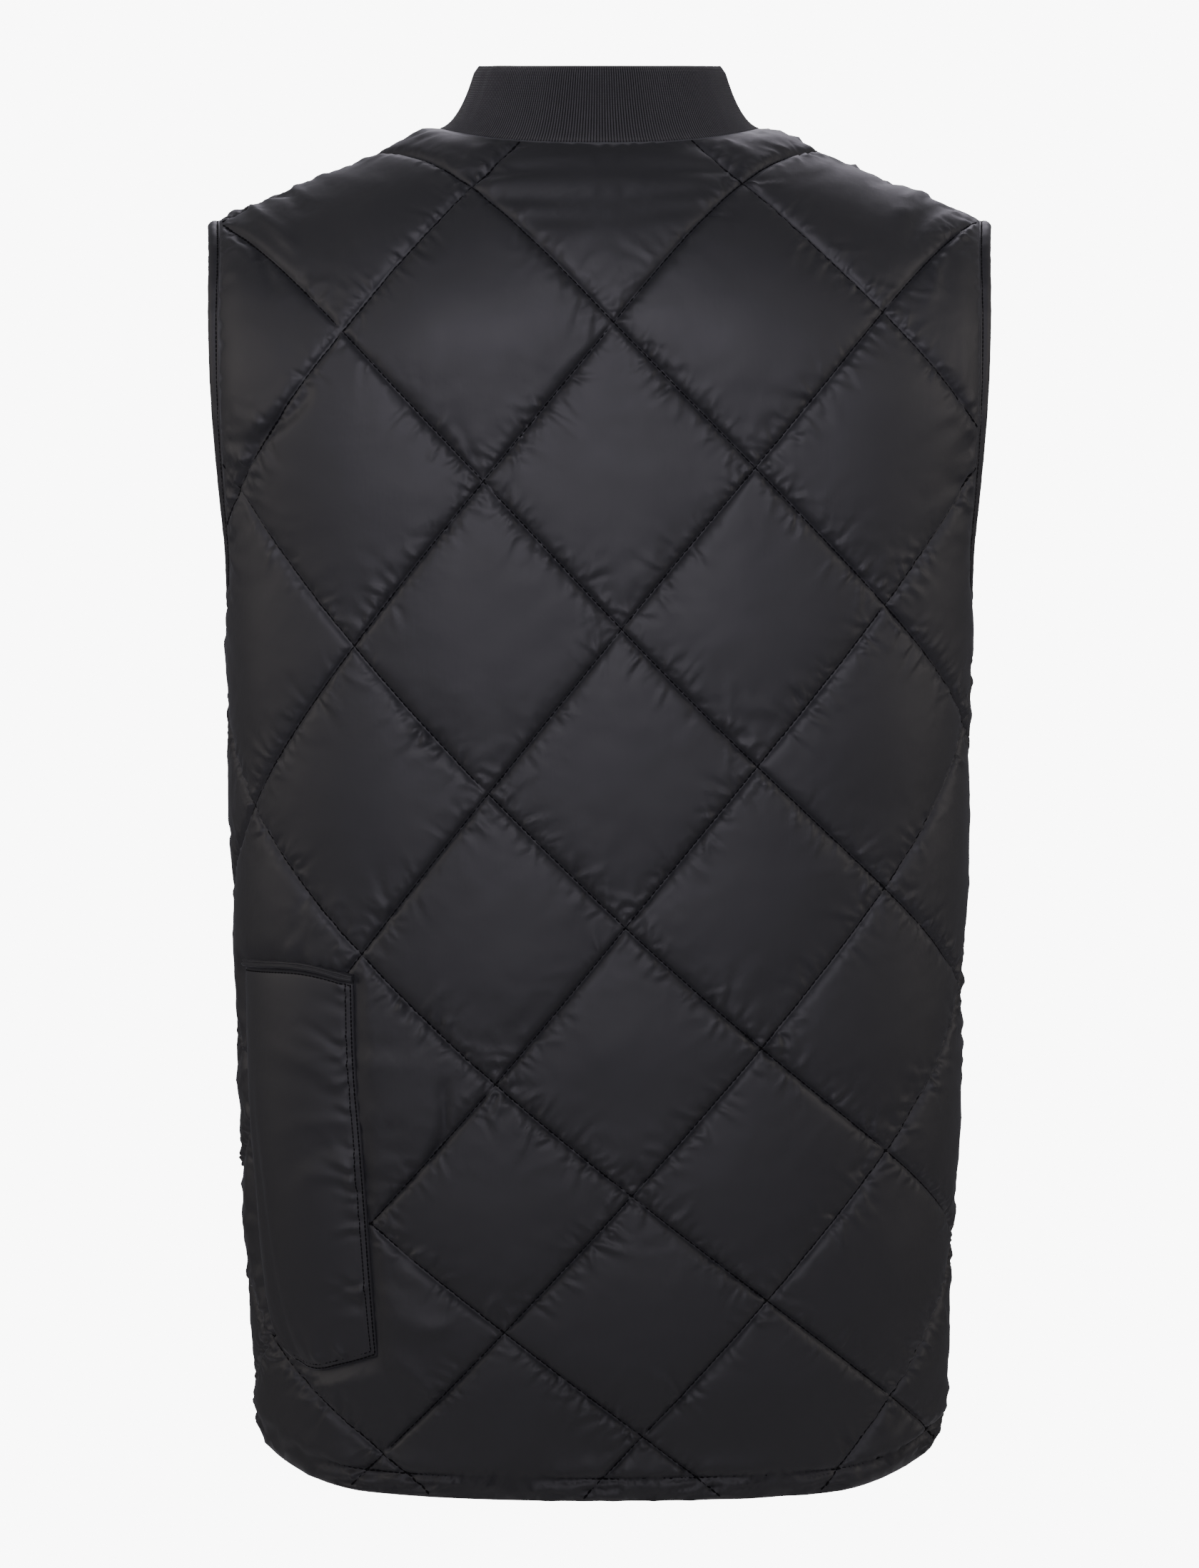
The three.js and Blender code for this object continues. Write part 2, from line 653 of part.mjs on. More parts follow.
// The neck seam at an angle from the middle of the back: where the collar's foot leaves the panels.
function neckSeam(angle) {
  const turn = Math.abs(angle);
  const body = turn < Math.PI / 2 ? BODY.back : BODY.front;
  const [across, deep] = neckPlan(turn);
  const cloth = body.fromPlan(across, Math.abs(deep));
  const mirror = (v) => new THREE.Vector3(Math.sign(angle) * v.x, v.y, v.z);
  return { at: mirror(body.place(cloth.x, cloth.y)), out: mirror(body.normal(cloth.x, cloth.y)) };
}

// A point of the collar: angle round the neck, share of its height, and distance out.
function collarPoint(angle, up, out) {
  const step = 0.01;
  const profile = (turn, share) => {
    const seam = neckSeam(turn);
    const along = neckSeam(turn + step).at.sub(neckSeam(turn - step).at).normalize();
    const inward = new THREE.Vector3().crossVectors(along, seam.out).normalize();
    if (inward.dot(new THREE.Vector3(-seam.at.x, -seam.at.y, 0)) < 0) inward.negate();
    const foot = seam.at.addScaledVector(inward, SEAM_GAP);
    const deep = Math.cos(turn);
    const nearEnd = (Math.abs(turn) / neckAngle(COLLAR.endHalfGap) - 1 + COLLAR.endRound) / COLLAR.endRound;
    const frontRise = COLLAR.frontRise * (1 - COLLAR.endDrop * Math.max(nearEnd, 0) ** 3);
    const top = new THREE.Vector3(
      COLLAR.topHalfWidth * Math.sin(turn),
      deep * (deep > 0 ? COLLAR.topBack : COLLAR.topFront),
      deep > 0 ? COLLAR.level : foot.z + frontRise,
    );
    const bend = foot.clone().addScaledVector(inward, COLLAR.flare);
    return new THREE.QuadraticBezierCurve3(foot, bend, top).getPoint(share);
  };
  const around = profile(angle + step, up).sub(profile(angle - step, up));
  const rising = profile(angle, Math.min(up + step, 1)).sub(profile(angle, Math.max(up - step, 0)));
  const normal = around.cross(rising).normalize();
  return profile(angle, up).addScaledVector(normal, out);
}

// The collar: a ring open at the front, with upright ribs raised on its outer face.
function collar() {
  const end = neckAngle(COLLAR.endHalfGap);
  const perCell = 6;
  const columns = (COLLAR.ribs * 2) / perCell;
  const rows = 3;
  const offMiddle = 1e-4;
  const angleAt = (n, count) => -end + (2 * end * (n + offMiddle)) / count;
  const outer = (i, j) => {
    const rib = i % 2 === 1 ? COLLAR.rib : 0;
    const rim = j === rows ? COLLAR.topRound : 0;
    return collarPoint(angleAt(i, columns * perCell), j / rows, COLLAR.wall + rib - rim);
  };
  const inner = (i, j) => collarPoint(angleAt(i, columns), j / rows, 0);
  return wall(gridCells(columns, rows), [perCell, 1], outer, inner);
}

// The armhole binding: its section swept from the shoulder down the back's edge and up the front's.
function armholeBinding() {
  const stations = ['back', 'front'].flatMap((side) => {
    const curve = armholeCurve(side, 0);
    const run = range(ARMHOLE.steps, 0, 1).map((t) => {
      const tangent = curve.getTangentAt(t);
      return { body: BODY[side], at: curve.getPointAt(t), away: new THREE.Vector2(-tangent.y, tangent.x) };
    });
    return side === 'back' ? run.slice(0, -1) : run.reverse().slice(0, -1);
  });
  return loop(stations.length, BINDING_SECTION.length, (i, j) => {
    const { body, at, away } = stations[i];
    const { across, out } = BINDING_SECTION[j];
    return body.point(at.x + away.x * across, at.y + away.y * across, out);
  });
}

const zipTop = BODY.front.fromPlan(...neckPlan(neckAngle(ZIP.halfGap)).map(Math.abs)).y;

// A strip of the zip, between two arcs from the centre front and between two faces.
function zipStrip(from, to, low, high, [inner, outer]) {
  const { steps } = ZIP;
  const at = (i, j, out) => BODY.front.point(from + (to - from) * i, low + ((high - low) * j) / steps, out);
  return wall(gridCells(1, steps), [1, 1], (i, j) => at(i, j, outer), (i, j) => at(i, j, inner));
}

// The slider's own frame on the zip: X across, Y up along it, Z out of it.
function sliderFrame() {
  const height = zipTop - ZIP.sliderStop;
  const out = BODY.front.normal(0.01, height);
  out.x = 0;
  out.normalize();
  const across = new THREE.Vector3(1, 0, 0);
  const up = new THREE.Vector3().crossVectors(out, across);
  const seat = BODY.front.place(0, height).addScaledVector(out, SLIDER.seat);
  seat.x = 0;
  return new THREE.Matrix4().makeBasis(across, up, out).setPosition(seat);
}

function roundedPlate(halfWidth, low, high, corner, depth) {
  const shape = new THREE.Shape();
  shape.moveTo(-halfWidth + corner, low);
  shape.lineTo(halfWidth - corner, low);
  shape.absarc(halfWidth - corner, low + corner, corner, -Math.PI / 2, 0);
  shape.lineTo(halfWidth, high - corner);
  shape.absarc(halfWidth - corner, high - corner, corner, 0, Math.PI / 2);
  shape.lineTo(-halfWidth + corner, high);
  shape.absarc(-halfWidth + corner, high - corner, corner, Math.PI / 2, Math.PI);
  shape.lineTo(-halfWidth, low + corner);
  shape.absarc(-halfWidth + corner, low + corner, corner, Math.PI, 1.5 * Math.PI);
  return new THREE.ExtrudeGeometry(shape, { depth, bevelEnabled: false, curveSegments: 3 });
}

// The slider: a rounded plate with two lugs that hold a pin across it.
function zipSlider() {
  const { halfWidth, length, thickness, corner, lugInner, lugThickness } = SLIDER;
  const plate = roundedPlate(halfWidth, -length / 2, length / 2, corner, thickness);
  const lugs = [-1, 1].map((hand) => new THREE
    .BoxGeometry(lugThickness, SLIDER.lugLength, SLIDER.lugHeight + 1)
    .translate(hand * (lugInner + lugThickness / 2), 0, thickness + (SLIDER.lugHeight - 1) / 2));
  const pin = new THREE.CylinderGeometry(SLIDER.pinRadius, SLIDER.pinRadius, 2 * lugInner + 1, 12)
    .rotateZ(Math.PI / 2).translate(0, 0, SLIDER.pinHeight);
  return toGeometry([...lugs, pin].reduce((body, piece) => body.add(toSolid(piece)), toSolid(plate)));
}

// The pull tab: an eye round the pin and a long rounded plate that lies down the zip.
function zipPull() {
  const { length, halfWidth, thickness, eyeRadius, eyeHole, eyeHalfWidth, neckFrom, neckTo } = PULL;
  const eye = new THREE.CylinderGeometry(eyeRadius, eyeRadius, 2 * eyeHalfWidth, 16).rotateZ(Math.PI / 2);
  const hole = new THREE.CylinderGeometry(eyeHole, eyeHole, 3 * eyeHalfWidth, 16).rotateZ(Math.PI / 2);
  const neck = new THREE.BoxGeometry(2 * eyeHalfWidth, neckTo - neckFrom, thickness)
    .translate(0, -(neckFrom + neckTo) / 2, 0);
  const plate = roundedPlate(halfWidth, -length, -PULL.plateFrom, PULL.corner, thickness)
    .translate(0, 0, -thickness / 2);
  const window = roundedPlate(
    PULL.windowHalfWidth, PULL.windowTo - length, PULL.windowFrom - length, PULL.windowCorner, 3 * thickness,
  ).translate(0, 0, -1.5 * thickness);
  const joined = [neck, plate].reduce((body, piece) => body.add(toSolid(piece)), toSolid(eye));
  return toGeometry([hole, window].reduce((body, piece) => body.subtract(toSolid(piece)), joined));
}

const finish = (name, color, roughness, metalness = 0) => new THREE
  .MeshStandardMaterial({ name, color, roughness, metalness });
const nylon = finish('quilted nylon', 0x17181b, 0.42);
const knit = finish('rib knit', 0x101113, 0.85);
const tape = finish('zip tape', 0x111214, 0.8);
const plastic = finish('moulded zip', 0x0e0f10, 0.4);
const metal = finish('black metal', 0x1b1b1d, 0.35, 0.9);

const vest = new THREE.Group();
function addPiece(name, geometry, material, parent = vest) {
  const mesh = new THREE.Mesh(geometry, material);
  mesh.name = name;
  parent.add(mesh);
  return mesh;
}

const front = frontPanel();
const binding = armholeBinding();
addPiece('back_panel', backPanel(), nylon);
addPiece('front_left', front, nylon);
addPiece('front_right', mirroredGeometry(front), nylon);
addPiece('collar', collar(), knit);
addPiece('armhole_binding_left', binding, nylon);
addPiece('armhole_binding_right', mirroredGeometry(binding), nylon);
addPiece('hip_patch', hipPatch(), nylon);
addPiece('hip_patch_welt', hipPatchWelt(), nylon);

const zipFoot = HEM.front + ZIP.foot;
const tapeInner = ZIP.chainHalf + SEAM_GAP;
const tapeLeft = zipStrip(tapeInner, ZIP.tapeOuter, zipFoot, zipTop - ZIP.tapeStop, ZIP.tapeFaces);
const chain = zipStrip(-ZIP.chainHalf, ZIP.chainHalf, zipFoot, zipTop - ZIP.chainStop, ZIP.chainFaces);
addPiece('zip_tape_left', tapeLeft, tape);
addPiece('zip_tape_right', mirroredGeometry(tapeLeft), tape);
addPiece('zip_chain', chain, plastic);

const slider = new THREE.Group();
slider.applyMatrix4(sliderFrame());
addPiece('zip_slider', zipSlider(), metal, slider);
const pull = addPiece('zip_pull', zipPull(), metal, slider);
pull.position.z = SLIDER.pinHeight;
vest.add(slider);

export default vest;
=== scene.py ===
"""A quilted vest in its worn, hollow form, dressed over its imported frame.

Cloth sizes are in millimetres, as a maker states them, and each mesh is scaled to metres when it is
made. A point of the cloth has an arc from the middle of its panel and a height along the cloth.
"""

import math

import bmesh
import bpy
import numpy as np
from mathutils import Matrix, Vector, geometry


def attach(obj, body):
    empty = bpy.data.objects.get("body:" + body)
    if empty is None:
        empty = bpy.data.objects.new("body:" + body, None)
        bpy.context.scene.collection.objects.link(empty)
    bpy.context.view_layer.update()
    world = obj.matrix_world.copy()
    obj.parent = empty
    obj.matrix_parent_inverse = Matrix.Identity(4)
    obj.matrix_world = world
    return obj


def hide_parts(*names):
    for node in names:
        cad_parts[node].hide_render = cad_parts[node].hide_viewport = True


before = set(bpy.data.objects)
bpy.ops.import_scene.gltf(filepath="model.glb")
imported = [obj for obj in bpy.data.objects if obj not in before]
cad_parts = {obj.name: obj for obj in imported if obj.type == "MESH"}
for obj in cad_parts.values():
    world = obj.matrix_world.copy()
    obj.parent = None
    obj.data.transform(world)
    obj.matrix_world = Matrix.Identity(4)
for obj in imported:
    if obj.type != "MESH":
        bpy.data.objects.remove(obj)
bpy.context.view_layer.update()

bl_info = {
    "name": "Quilted Vest",
    "version": (1, 0, 0),
    "blender": (4, 5, 0),
    "location": "View3D > Sidebar > Vest",
    "description": "Makes the cloth, stitching, knit, zip and stage of a quilted vest",
    "category": "Object",
}

MM = 0.001
GARMENT = "garment"

# Named sizes of the cut, in millimetres, the same as the solids have.
SEAM_GAP = 0.3
# How far each sewn panel laps past its seam line, so that no light comes through a seam.
LAP = 0.5
NECK = {"half_width": 83, "back": 68, "front": 97}
SHOULDER = {
    "reach": 200, "level": 4, "slope": math.tan(math.radians(22.4)), "round": 60,
    "drop": 4.5, "drop_over": 60,
}
UNDERARM = -252
HEM = {"back": -714, "side": -698, "front": -702, "level_share": 0.56}
RISE = {"back": 120, "front": 220}
FACING = {"back": 1, "front": -1}
ARMHOLE = {
    "back": ((-55, 196), (-105, 195), (-150, 194), (-195, 192)),
    "front": ((-55, 194), (-105, 189), (-150, 186), (-195, 185)),
}
ZIP = {
    "half_gap": 7, "tape_end": 2, "tape_foot": 1, "tape_rows": 210, "teeth_end": 7, "teeth_foot": 4,
    "tooth_step": 2.5, "tooth_aside": 0.85, "tooth_lag": 1.25, "tooth_lift": 1.15,
}
# Outline of a tape's section: place across from the middle of the zip, and lift off the worn surface.
TAPE_PROFILE = (
    (0.5, 0.6), (0.5, 0.9), (1.6, 1.0), (2.4, 1.9), (3.2, 1.9), (3.6, 1.4), (5.0, 1.35), (7.8, 1.3),
    (7.8, 0.7), (4.4, 0.6),
)

SECTIONS = {
    "height": (-790, -730, -690, -640, -560, -430, -300, -225, -150, -70, 0, 130),
    "half_width": (175, 180, 182.5, 184.5, 188, 191, 193, 195.5, 208.5, 228, 243, 262),
    "back": (75, 84, 88, 96, 103, 110, 116, 118, 118, 116, 113, 112),
    "front": (99, 104, 107, 110, 113, 117, 121, 122, 122, 120, 117, 115),
    "square": (2.35, 2.35, 2.35, 2.4, 2.45, 2.55, 2.7, 2.75, 2.8, 2.8, 2.8, 2.8),
}

# Rows of stitch crossings: height at the middle, tilt and shift of the middle column.
QUILT_COLUMN = 69
QUILTING = {
    "back": {
        "row": (-3, -1, 1, 3, 5, 7, 9, 11),
        "height": (141, -14, -168, -326, -478, -614, -745, -870),
        "tilt": (-0.02, -0.03, -0.05, -0.1, -0.135, -0.12, -0.08, -0.08),
        "shift": (0, -4, -10, -12, -15, -19, -26, -30),
    },
    "front": {"row": (-3, 5, 11), "height": (141, -478, -940), "tilt": (0, 0, 0), "shift": (0, 0, 0)},
}
WALL = {"seam": 4, "stitch": 2.4, "seam_fade": 16}

# The hip patch's edges on the cloth of the back: arc and height.
PATCH_EDGES = {
    "mouth": ((210, -435), (162, -430), (129, -434)),
    "inner": ((129, -434), (128, -481), (124, -538), (118, -636)),
    "bottom": ((178, -641), (156, -648), (137, -643), (118, -636)),
    "outer": ((210, -435), (205, -503), (199, -569), (192, -612), (178, -641)),
}
DIAMOND_SIDE = 102
# Rings of mesh points inside each diamond: distance from the stitch line, and step along the ring.
FINE_RINGS = (
    (0, 1.4), (1.0, 1.4), (2.2, 1.4), (3.6, 1.45), (5.2, 1.5), (7.0, 1.6), (9.0, 1.7), (11.2, 1.9),
    (13.8, 2.1), (16.8, 2.5), (20.4, 3.0), (24.8, 3.5), (30.2, 4.2), (36.6, 5), (44.0, 6),
)
PLAIN_RINGS = ((0, 9), (8, 9), (17, 9), (27, 9), (38, 9))
PATCH = {
    "width": 72, "length": 205, "stitch_rows": (1.4, 3.8), "bed": 2.5, "bulge": 7, "fade": 9,
    "welt_width": 4.6, "face": 1.3, "fold": 1.2, "gather": 0.9, "row_depth": 0.55, "row_width": 0.8,
    "edge_drop": 0.9, "edge_width": 0.9, "sway": 0.7, "thinnest": 0.5,
}
PATCH_BASE = PATCH["bed"] + SEAM_GAP
WELT = {"face": 0.9, "roll": 2.3, "stitches_at": 0.6, "sway": 0.35}

COLLAR = {
    "level": 39, "front_rise": 35, "top_half_width": 62, "top_back": 60, "top_front": 80,
    "flare": 13, "wall": 2.8, "end_half_gap": 9, "end_round": 0.16, "end_drop": 0.3,
    "rib": (0, 0.6, 0.85, 0.6), "rib_height": 0.9, "rib_inside": 0.6, "inside": 0.3, "fold_from": 0.9,
    "fold_thin": 0.25, "sway": 0.5, "cloth_height": 45,
}

# Creases that the cloth keeps: start arc and height, end arc and height, depth (a ridge is negative)
# and width.
CREASES = {
    "back": (
        (74, -11, -72, -6, 1.9, 4.4),
        (66, -19, -30, -15, -1.3, 4),
        (62, -27, -52, -24, 1.6, 4),
        (38, -37, -68, -34, 1.3, 4.6),
        (148, -124, 184, -160, 3, 3.6),
        (141, -104, 178, -150, -1.3, 7),
        (116, -634, 84, -652, -1.5, 5),
        (77, -484, 88, -526, 2.2, 2.8),
        (112, -611, 78, -618, -1.8, 5),
        (205, -180, 184, -196, 0.9, 5),
        (188, 6, 158, -52, -1.8, 3),
        (178, 16, 146, -28, 1.8, 3),
        (162, 20, 150, -18, -1.4, 2.6),
        (196, -20, 168, -74, 1.5, 3),
        (150, 22, 112, -14, -0.8, 3),
        (-190, 4, -158, -46, 1.7, 3),
        (-176, 14, -150, -34, -1.8, 2.8),
        (-152, 22, -138, -24, 1.4, 2.8),
        (-196, -24, -166, -84, -1.5, 3),
        (-130, 24, -104, -10, 0.8, 3),
        (-206, -150, -178, -172, 0.8, 6),
    ),
    "front": (
        (20, -96, 64, -60, 0.8, 6),
        (150, -120, 184, -160, -1.1, 7),
        (196, -250, 160, -284, 0.9, 6),
        (186, 30, 158, -40, -1.1, 3),
        (168, 44, 140, -8, 1, 3),
        (120, 62, 96, 4, -0.8, 4),
        (60, -640, 104, -622, 1, 5),
    ),
}
CREASE = {"wander": 2.5, "waves": 5, "past": 0.1, "fade": 4}

# The relief of the quilted panels.
THINNEST = 1.2
CRUMPLE = {"plain": 0.26, "corner": 0.8, "corner_reach": 34, "size": 12}
SWELL = {"height": 0.45, "across": 23, "down": 31}
STITCH_GROOVE = {"depth": 0.8, "width": 1.0}
EDGE = {
    "share": 0.82, "over": 3, "wrinkles_over": 7, "middle": -350, "radius": 260,
    "pucker": 0.3, "reach": 9, "wave": 6,
}
HEM_BAND = {
    "stitch": 12.5, "groove": 1.5, "bed": 1.7, "hold": 0.9, "fold": 2.2, "above": 7, "spread": 6,
    "bulge": 1.0, "vary": 0.9, "pucker": 0.8, "reach": 11, "wave": 8,
}
WRINKLES = {
    "per_line": 1050, "edge_step": 2.4, "edge_start": 3, "shortest": 3.5, "ridges": 0.68, "cell": 14.0,
    "stitch": {"slant": 0.42, "shape": 1.5, "length": 5.8, "longest": 34, "height": 0.95, "width": 1.1},
    "edge": {"slant": 0.55, "shape": 2.0, "length": 8.5, "longest": 52, "height": 1.1, "width": 2.0},
}
BINDING = {"stations": 130, "step": 2.2, "ripple": 0.3, "sway": 0.16}


def read_table(xs, ys, x):
    """Smooth values through a table's rows, with slopes taken from each row's neighbours."""
    xs, ys = np.asarray(xs, float), np.asarray(ys, float)
    last = len(xs) - 1
    before, after = np.maximum(np.arange(last + 1) - 1, 0), np.minimum(np.arange(last + 1) + 1, last)
    slope = (ys[after] - ys[before]) / (xs[after] - xs[before])
    i = np.clip(np.searchsorted(xs, x) - 1, 0, last - 1)
    span = xs[i + 1] - xs[i]
    t = (x - xs[i]) / span
    return (
        (2 * t**3 - 3 * t**2 + 1) * ys[i]
        + (t**3 - 2 * t**2 + t) * span * slope[i]
        + (3 * t**2 - 2 * t**3) * ys[i + 1]
        + (t**3 - t**2) * span * slope[i + 1]
    )


def ease(t):
    t = np.clip(t, 0, 1)
    return t * t * (3 - 2 * t)


def ridge_height(x):
    run = np.hypot(x, SHOULDER["round"]) - math.hypot(NECK["half_width"], SHOULDER["round"])
    beside = ease((x - NECK["half_width"]) / SHOULDER["drop_over"])
    return SHOULDER["level"] - SHOULDER["slope"] * run - SHOULDER["drop"] * beside


class Side:
    """One side of the worn surface, from cloth places to points."""

    spacing = 5.0
    samples = 640
    past = 1.35
    angles = np.linspace(0, 0.8 * math.pi, 145)

    def __init__(self, name):
        self.facing, self.rise = FACING[name], RISE[name]
        self.levels = np.arange(SECTIONS["height"][0], SECTIONS["height"][-1] + 1, self.spacing)
        width, depth, square = (
            read_table(SECTIONS["height"], SECTIONS[key], self.levels)[:, None]
            for key in ("half_width", name, "square")
        )
        turn = np.linspace(0, self.past, 1801)[None, :] * math.pi / 2
        across = width * np.sin(turn) ** (2 / square)
        deep = depth * np.sign(np.cos(turn)) * np.abs(np.cos(turn)) ** (2 / square)
        steps = np.hypot(np.diff(across), np.diff(deep))
        arcs = np.concatenate([np.zeros((len(self.levels), 1)), np.cumsum(steps, axis=1)], axis=1)
        self.quarters = np.array([row[d >= 0][-1] for row, d in zip(arcs, deep)])
        shares = np.linspace(0, 1.3, self.samples)
        self.share_step = shares[1]
        grid = self.quarters[:, None] * shares[None, :]
        self.across = np.stack([np.interp(g, a, x) for g, a, x in zip(grid, arcs, across)])
        self.deep = np.stack([np.interp(g, a, y) for g, a, y in zip(grid, arcs, deep)])

    def quarter(self, height):
        return np.interp(height, self.levels, self.quarters)

    def section(self, arc, height):
        level = np.clip((height - self.levels[0]) / self.spacing, 0, len(self.levels) - 1.001)
        place = np.clip(arc / self.quarter(height) / self.share_step, 0, self.samples - 1.001)
        i, j = level.astype(int), place.astype(int)
        t, u = level - i, place - j

        def mix(grid):
            low = grid[i, j] * (1 - u) + grid[i, j + 1] * u
            high = grid[i + 1, j] * (1 - u) + grid[i + 1, j + 1] * u
            return low * (1 - t) + high * t

        return mix(self.across), mix(self.deep)

    def bend(self, depth, arc):
        """The angle on a quarter ellipse over the shoulder at an arc from its foot."""
        middle = (self.angles[1:] + self.angles[:-1]) / 2
        step = self.angles[1]
        pieces = np.hypot(depth[:, None] * np.sin(middle), self.rise * np.cos(middle)) * step
        gone = np.concatenate([np.zeros((len(depth), 1)), np.cumsum(pieces, axis=1)], axis=1)
        i = np.clip((gone <= arc[:, None]).sum(axis=1) - 1, 0, len(middle) - 1)
        rows = np.arange(len(depth))
        return self.angles[i] + step * (arc - gone[rows, i]) / pieces[rows, i]

    def place(self, arc, height):
        arc, height = (np.atleast_1d(v).astype(float) for v in np.broadcast_arrays(arc, height))
        x, depth = self.section(np.abs(arc), height)
        foot = ridge_height(x) - self.rise
        y, z = depth.copy(), height.copy()
        bent = height > foot
        if bent.any():
            angle = self.bend(np.abs(depth[bent]), (height - foot)[bent])
            y[bent] = depth[bent] * np.cos(angle)
            z[bent] = foot[bent] + self.rise * np.sin(angle)
        return np.stack([np.sign(arc + 1e-9) * x, self.facing * y, z], axis=1)

    def normal(self, arc, height, reach=1.0):
        along = self.place(arc + reach, height) - self.place(arc - reach, height)
        up = self.place(arc, height + reach) - self.place(arc, height - reach)
        out = np.cross(up, along) * self.facing
        return out / np.linalg.norm(out, axis=1, keepdims=True)

    def point(self, arc, height, out):
        return self.place(arc, height) + self.normal(arc, height) * np.atleast_1d(out)[:, None]

    def arc_at(self, across, height):
        """The arc at which the section at each height reaches a distance across."""
        across, height = np.broadcast_arrays(np.asarray(across, float), np.asarray(height, float))
        low, high = np.zeros_like(height), self.quarter(height)
        for _ in range(40):
            middle = (low + high) / 2
            short = self.section(middle, height)[0] < across
            low, high = np.where(short, middle, low), np.where(short, high, middle)
        return low

    def from_plan(self, across, deep):
        """Cloth places over places in plan: across from the middle and deep from the side."""
        across, deep = (np.atleast_1d(v).astype(float) for v in np.broadcast_arrays(across, deep))
        height = np.zeros_like(across)
        for _ in range(16):
            arc = self.arc_at(across, height)
            depth = self.section(arc, height)[1]
            angle = np.arccos(np.clip(deep / depth, -0.1, 1))
            fine = (np.arange(48) + 0.5) / 48 * angle[:, None]
            run = np.hypot(depth[:, None] * np.sin(fine), self.rise * np.cos(fine)).mean(axis=1)
            height = ridge_height(across) - self.rise + run * angle
        return np.stack([arc, height], axis=1)


BODY = {name: Side(name) for name in ("back", "front")}


def smooth_noise(seed, cells, *coordinates):
    """Seeded smooth noise from -1 to 1 on one or two coordinates, measured in noise cells."""
    values = np.random.default_rng(seed).uniform(-1, 1, (cells,) * len(coordinates))
    floors = [np.floor(c).astype(int) for c in coordinates]
    shares = [ease(c - f) for c, f in zip(coordinates, floors)]
    if len(coordinates) == 1:
        low, high = (values[(floors[0] + k) % cells] for k in (0, 1))
        return low + (high - low) * shares[0]
    corner = [[values[(floors[0] + k) % cells, (floors[1] + m) % cells] for m in (0, 1)] for k in (0, 1)]
    rows = [a + (b - a) * shares[1] for a, b in corner]
    return rows[0] + (rows[1] - rows[0]) * shares[0]


# Cutting the panels.

def spline(points, count):
    """Evenly spaced places along a smooth curve through a few points."""
    points = np.asarray(points, float)
    ends = np.vstack([2 * points[0] - points[1], points, 2 * points[-1] - points[-2]])
    t = np.linspace(0, len(points) - 1, 60 * (len(points) - 1) + 1)
    i = np.minimum(t.astype(int), len(points) - 2)
    u = (t - i)[:, None]
    a, b, c, d = (ends[i + k] for k in range(4))
    line = 0.5 * (2 * b + (c - a) * u + (2 * a - 5 * b + 4 * c - d) * u**2 + (3 * b - a - 3 * c + d) * u**3)
    return resample(line, count)


def resample(line, count):
    run = np.concatenate([[0], np.cumsum(np.linalg.norm(np.diff(line, axis=0), axis=1))])
    at = np.linspace(0, run[-1], count + 1)
    return np.stack([np.interp(at, run, line[:, k]) for k in range(line.shape[1])], axis=1)


def armhole_line(side, lap, count):
    """The armhole's line from the shoulder to the underarm, past both seams by the lap."""
    body = BODY[side]
    heights, across = (np.array(v, float) for v in zip(*ARMHOLE[side]))
    rows = np.stack([body.arc_at(across, heights), heights], axis=1)
    last, end = rows[-1], float(body.quarter(UNDERARM)) + lap
    turn = np.array([0.35, 0.65, 1, 1.3])
    corner = np.stack(
        [end - (end - last[0]) * np.cos(turn), last[1] - (last[1] - UNDERARM) * np.sin(turn)], axis=1
    )
    tip = body.from_plan(SHOULDER["reach"], -lap)
    return spline(np.vstack([tip, rows, corner, [[end, UNDERARM]]]), count)


def neck_plan(angle):
    deep = np.cos(angle)
    return NECK["half_width"] * np.sin(angle), deep * np.where(deep > 0, NECK["back"], NECK["front"])


def neck_angle(half_gap):
    return math.pi - math.asin(half_gap / NECK["half_width"])


def hem_height(side, arc):
    toward = np.abs(arc) / BODY[side].quarter(HEM["side"])
    rising = ease((toward - HEM["level_share"]) / (1 - HEM["level_share"]))
    return HEM[side] + (HEM["side"] - HEM[side]) * rising


def half_outline(side, neck_from, hem_to, spacing):
    """Half a panel's outline: neckline, shoulder, armhole, side seam and hem, in even steps."""
    body = BODY[side]
    across, deep = neck_plan(np.linspace(neck_from, math.pi / 2, 40))
    neck = body.from_plan(across, np.where(across < NECK["half_width"] - 0.01, np.abs(deep), -LAP))
    shoulder = body.from_plan(np.linspace(NECK["half_width"], SHOULDER["reach"], 24), -LAP)
    heights = np.linspace(UNDERARM, HEM["side"], 60)
    seam = np.stack([body.quarter(heights) + LAP, heights], axis=1)
    arcs = np.linspace(float(body.quarter(HEM["side"])) + LAP, hem_to, 60)
    hem = np.stack([arcs, hem_height(side, arcs)], axis=1)
    runs = []
    for line in (neck, shoulder, armhole_line(side, LAP, 60), seam, hem):
        length = np.linalg.norm(np.diff(line, axis=0), axis=1).sum()
        runs.append(resample(line, max(round(length / spacing), 2))[:-1])
    return np.vstack([*runs, hem[-1:]])


def panel_outline(side, spacing):
    if side == "back":
        half = half_outline("back", 0, 0, spacing)
        return np.vstack([half, half[-2:0:-1] * (-1, 1)])
    half = half_outline("front", neck_angle(ZIP["half_gap"]), ZIP["half_gap"], spacing)
    count = round((half[0, 1] - half[-1, 1]) / spacing)
    heights = np.linspace(half[-1, 1], half[0, 1], count + 1)[1:-1]
    return np.vstack([half, np.stack([np.full_like(heights, ZIP["half_gap"]), heights], axis=1)])


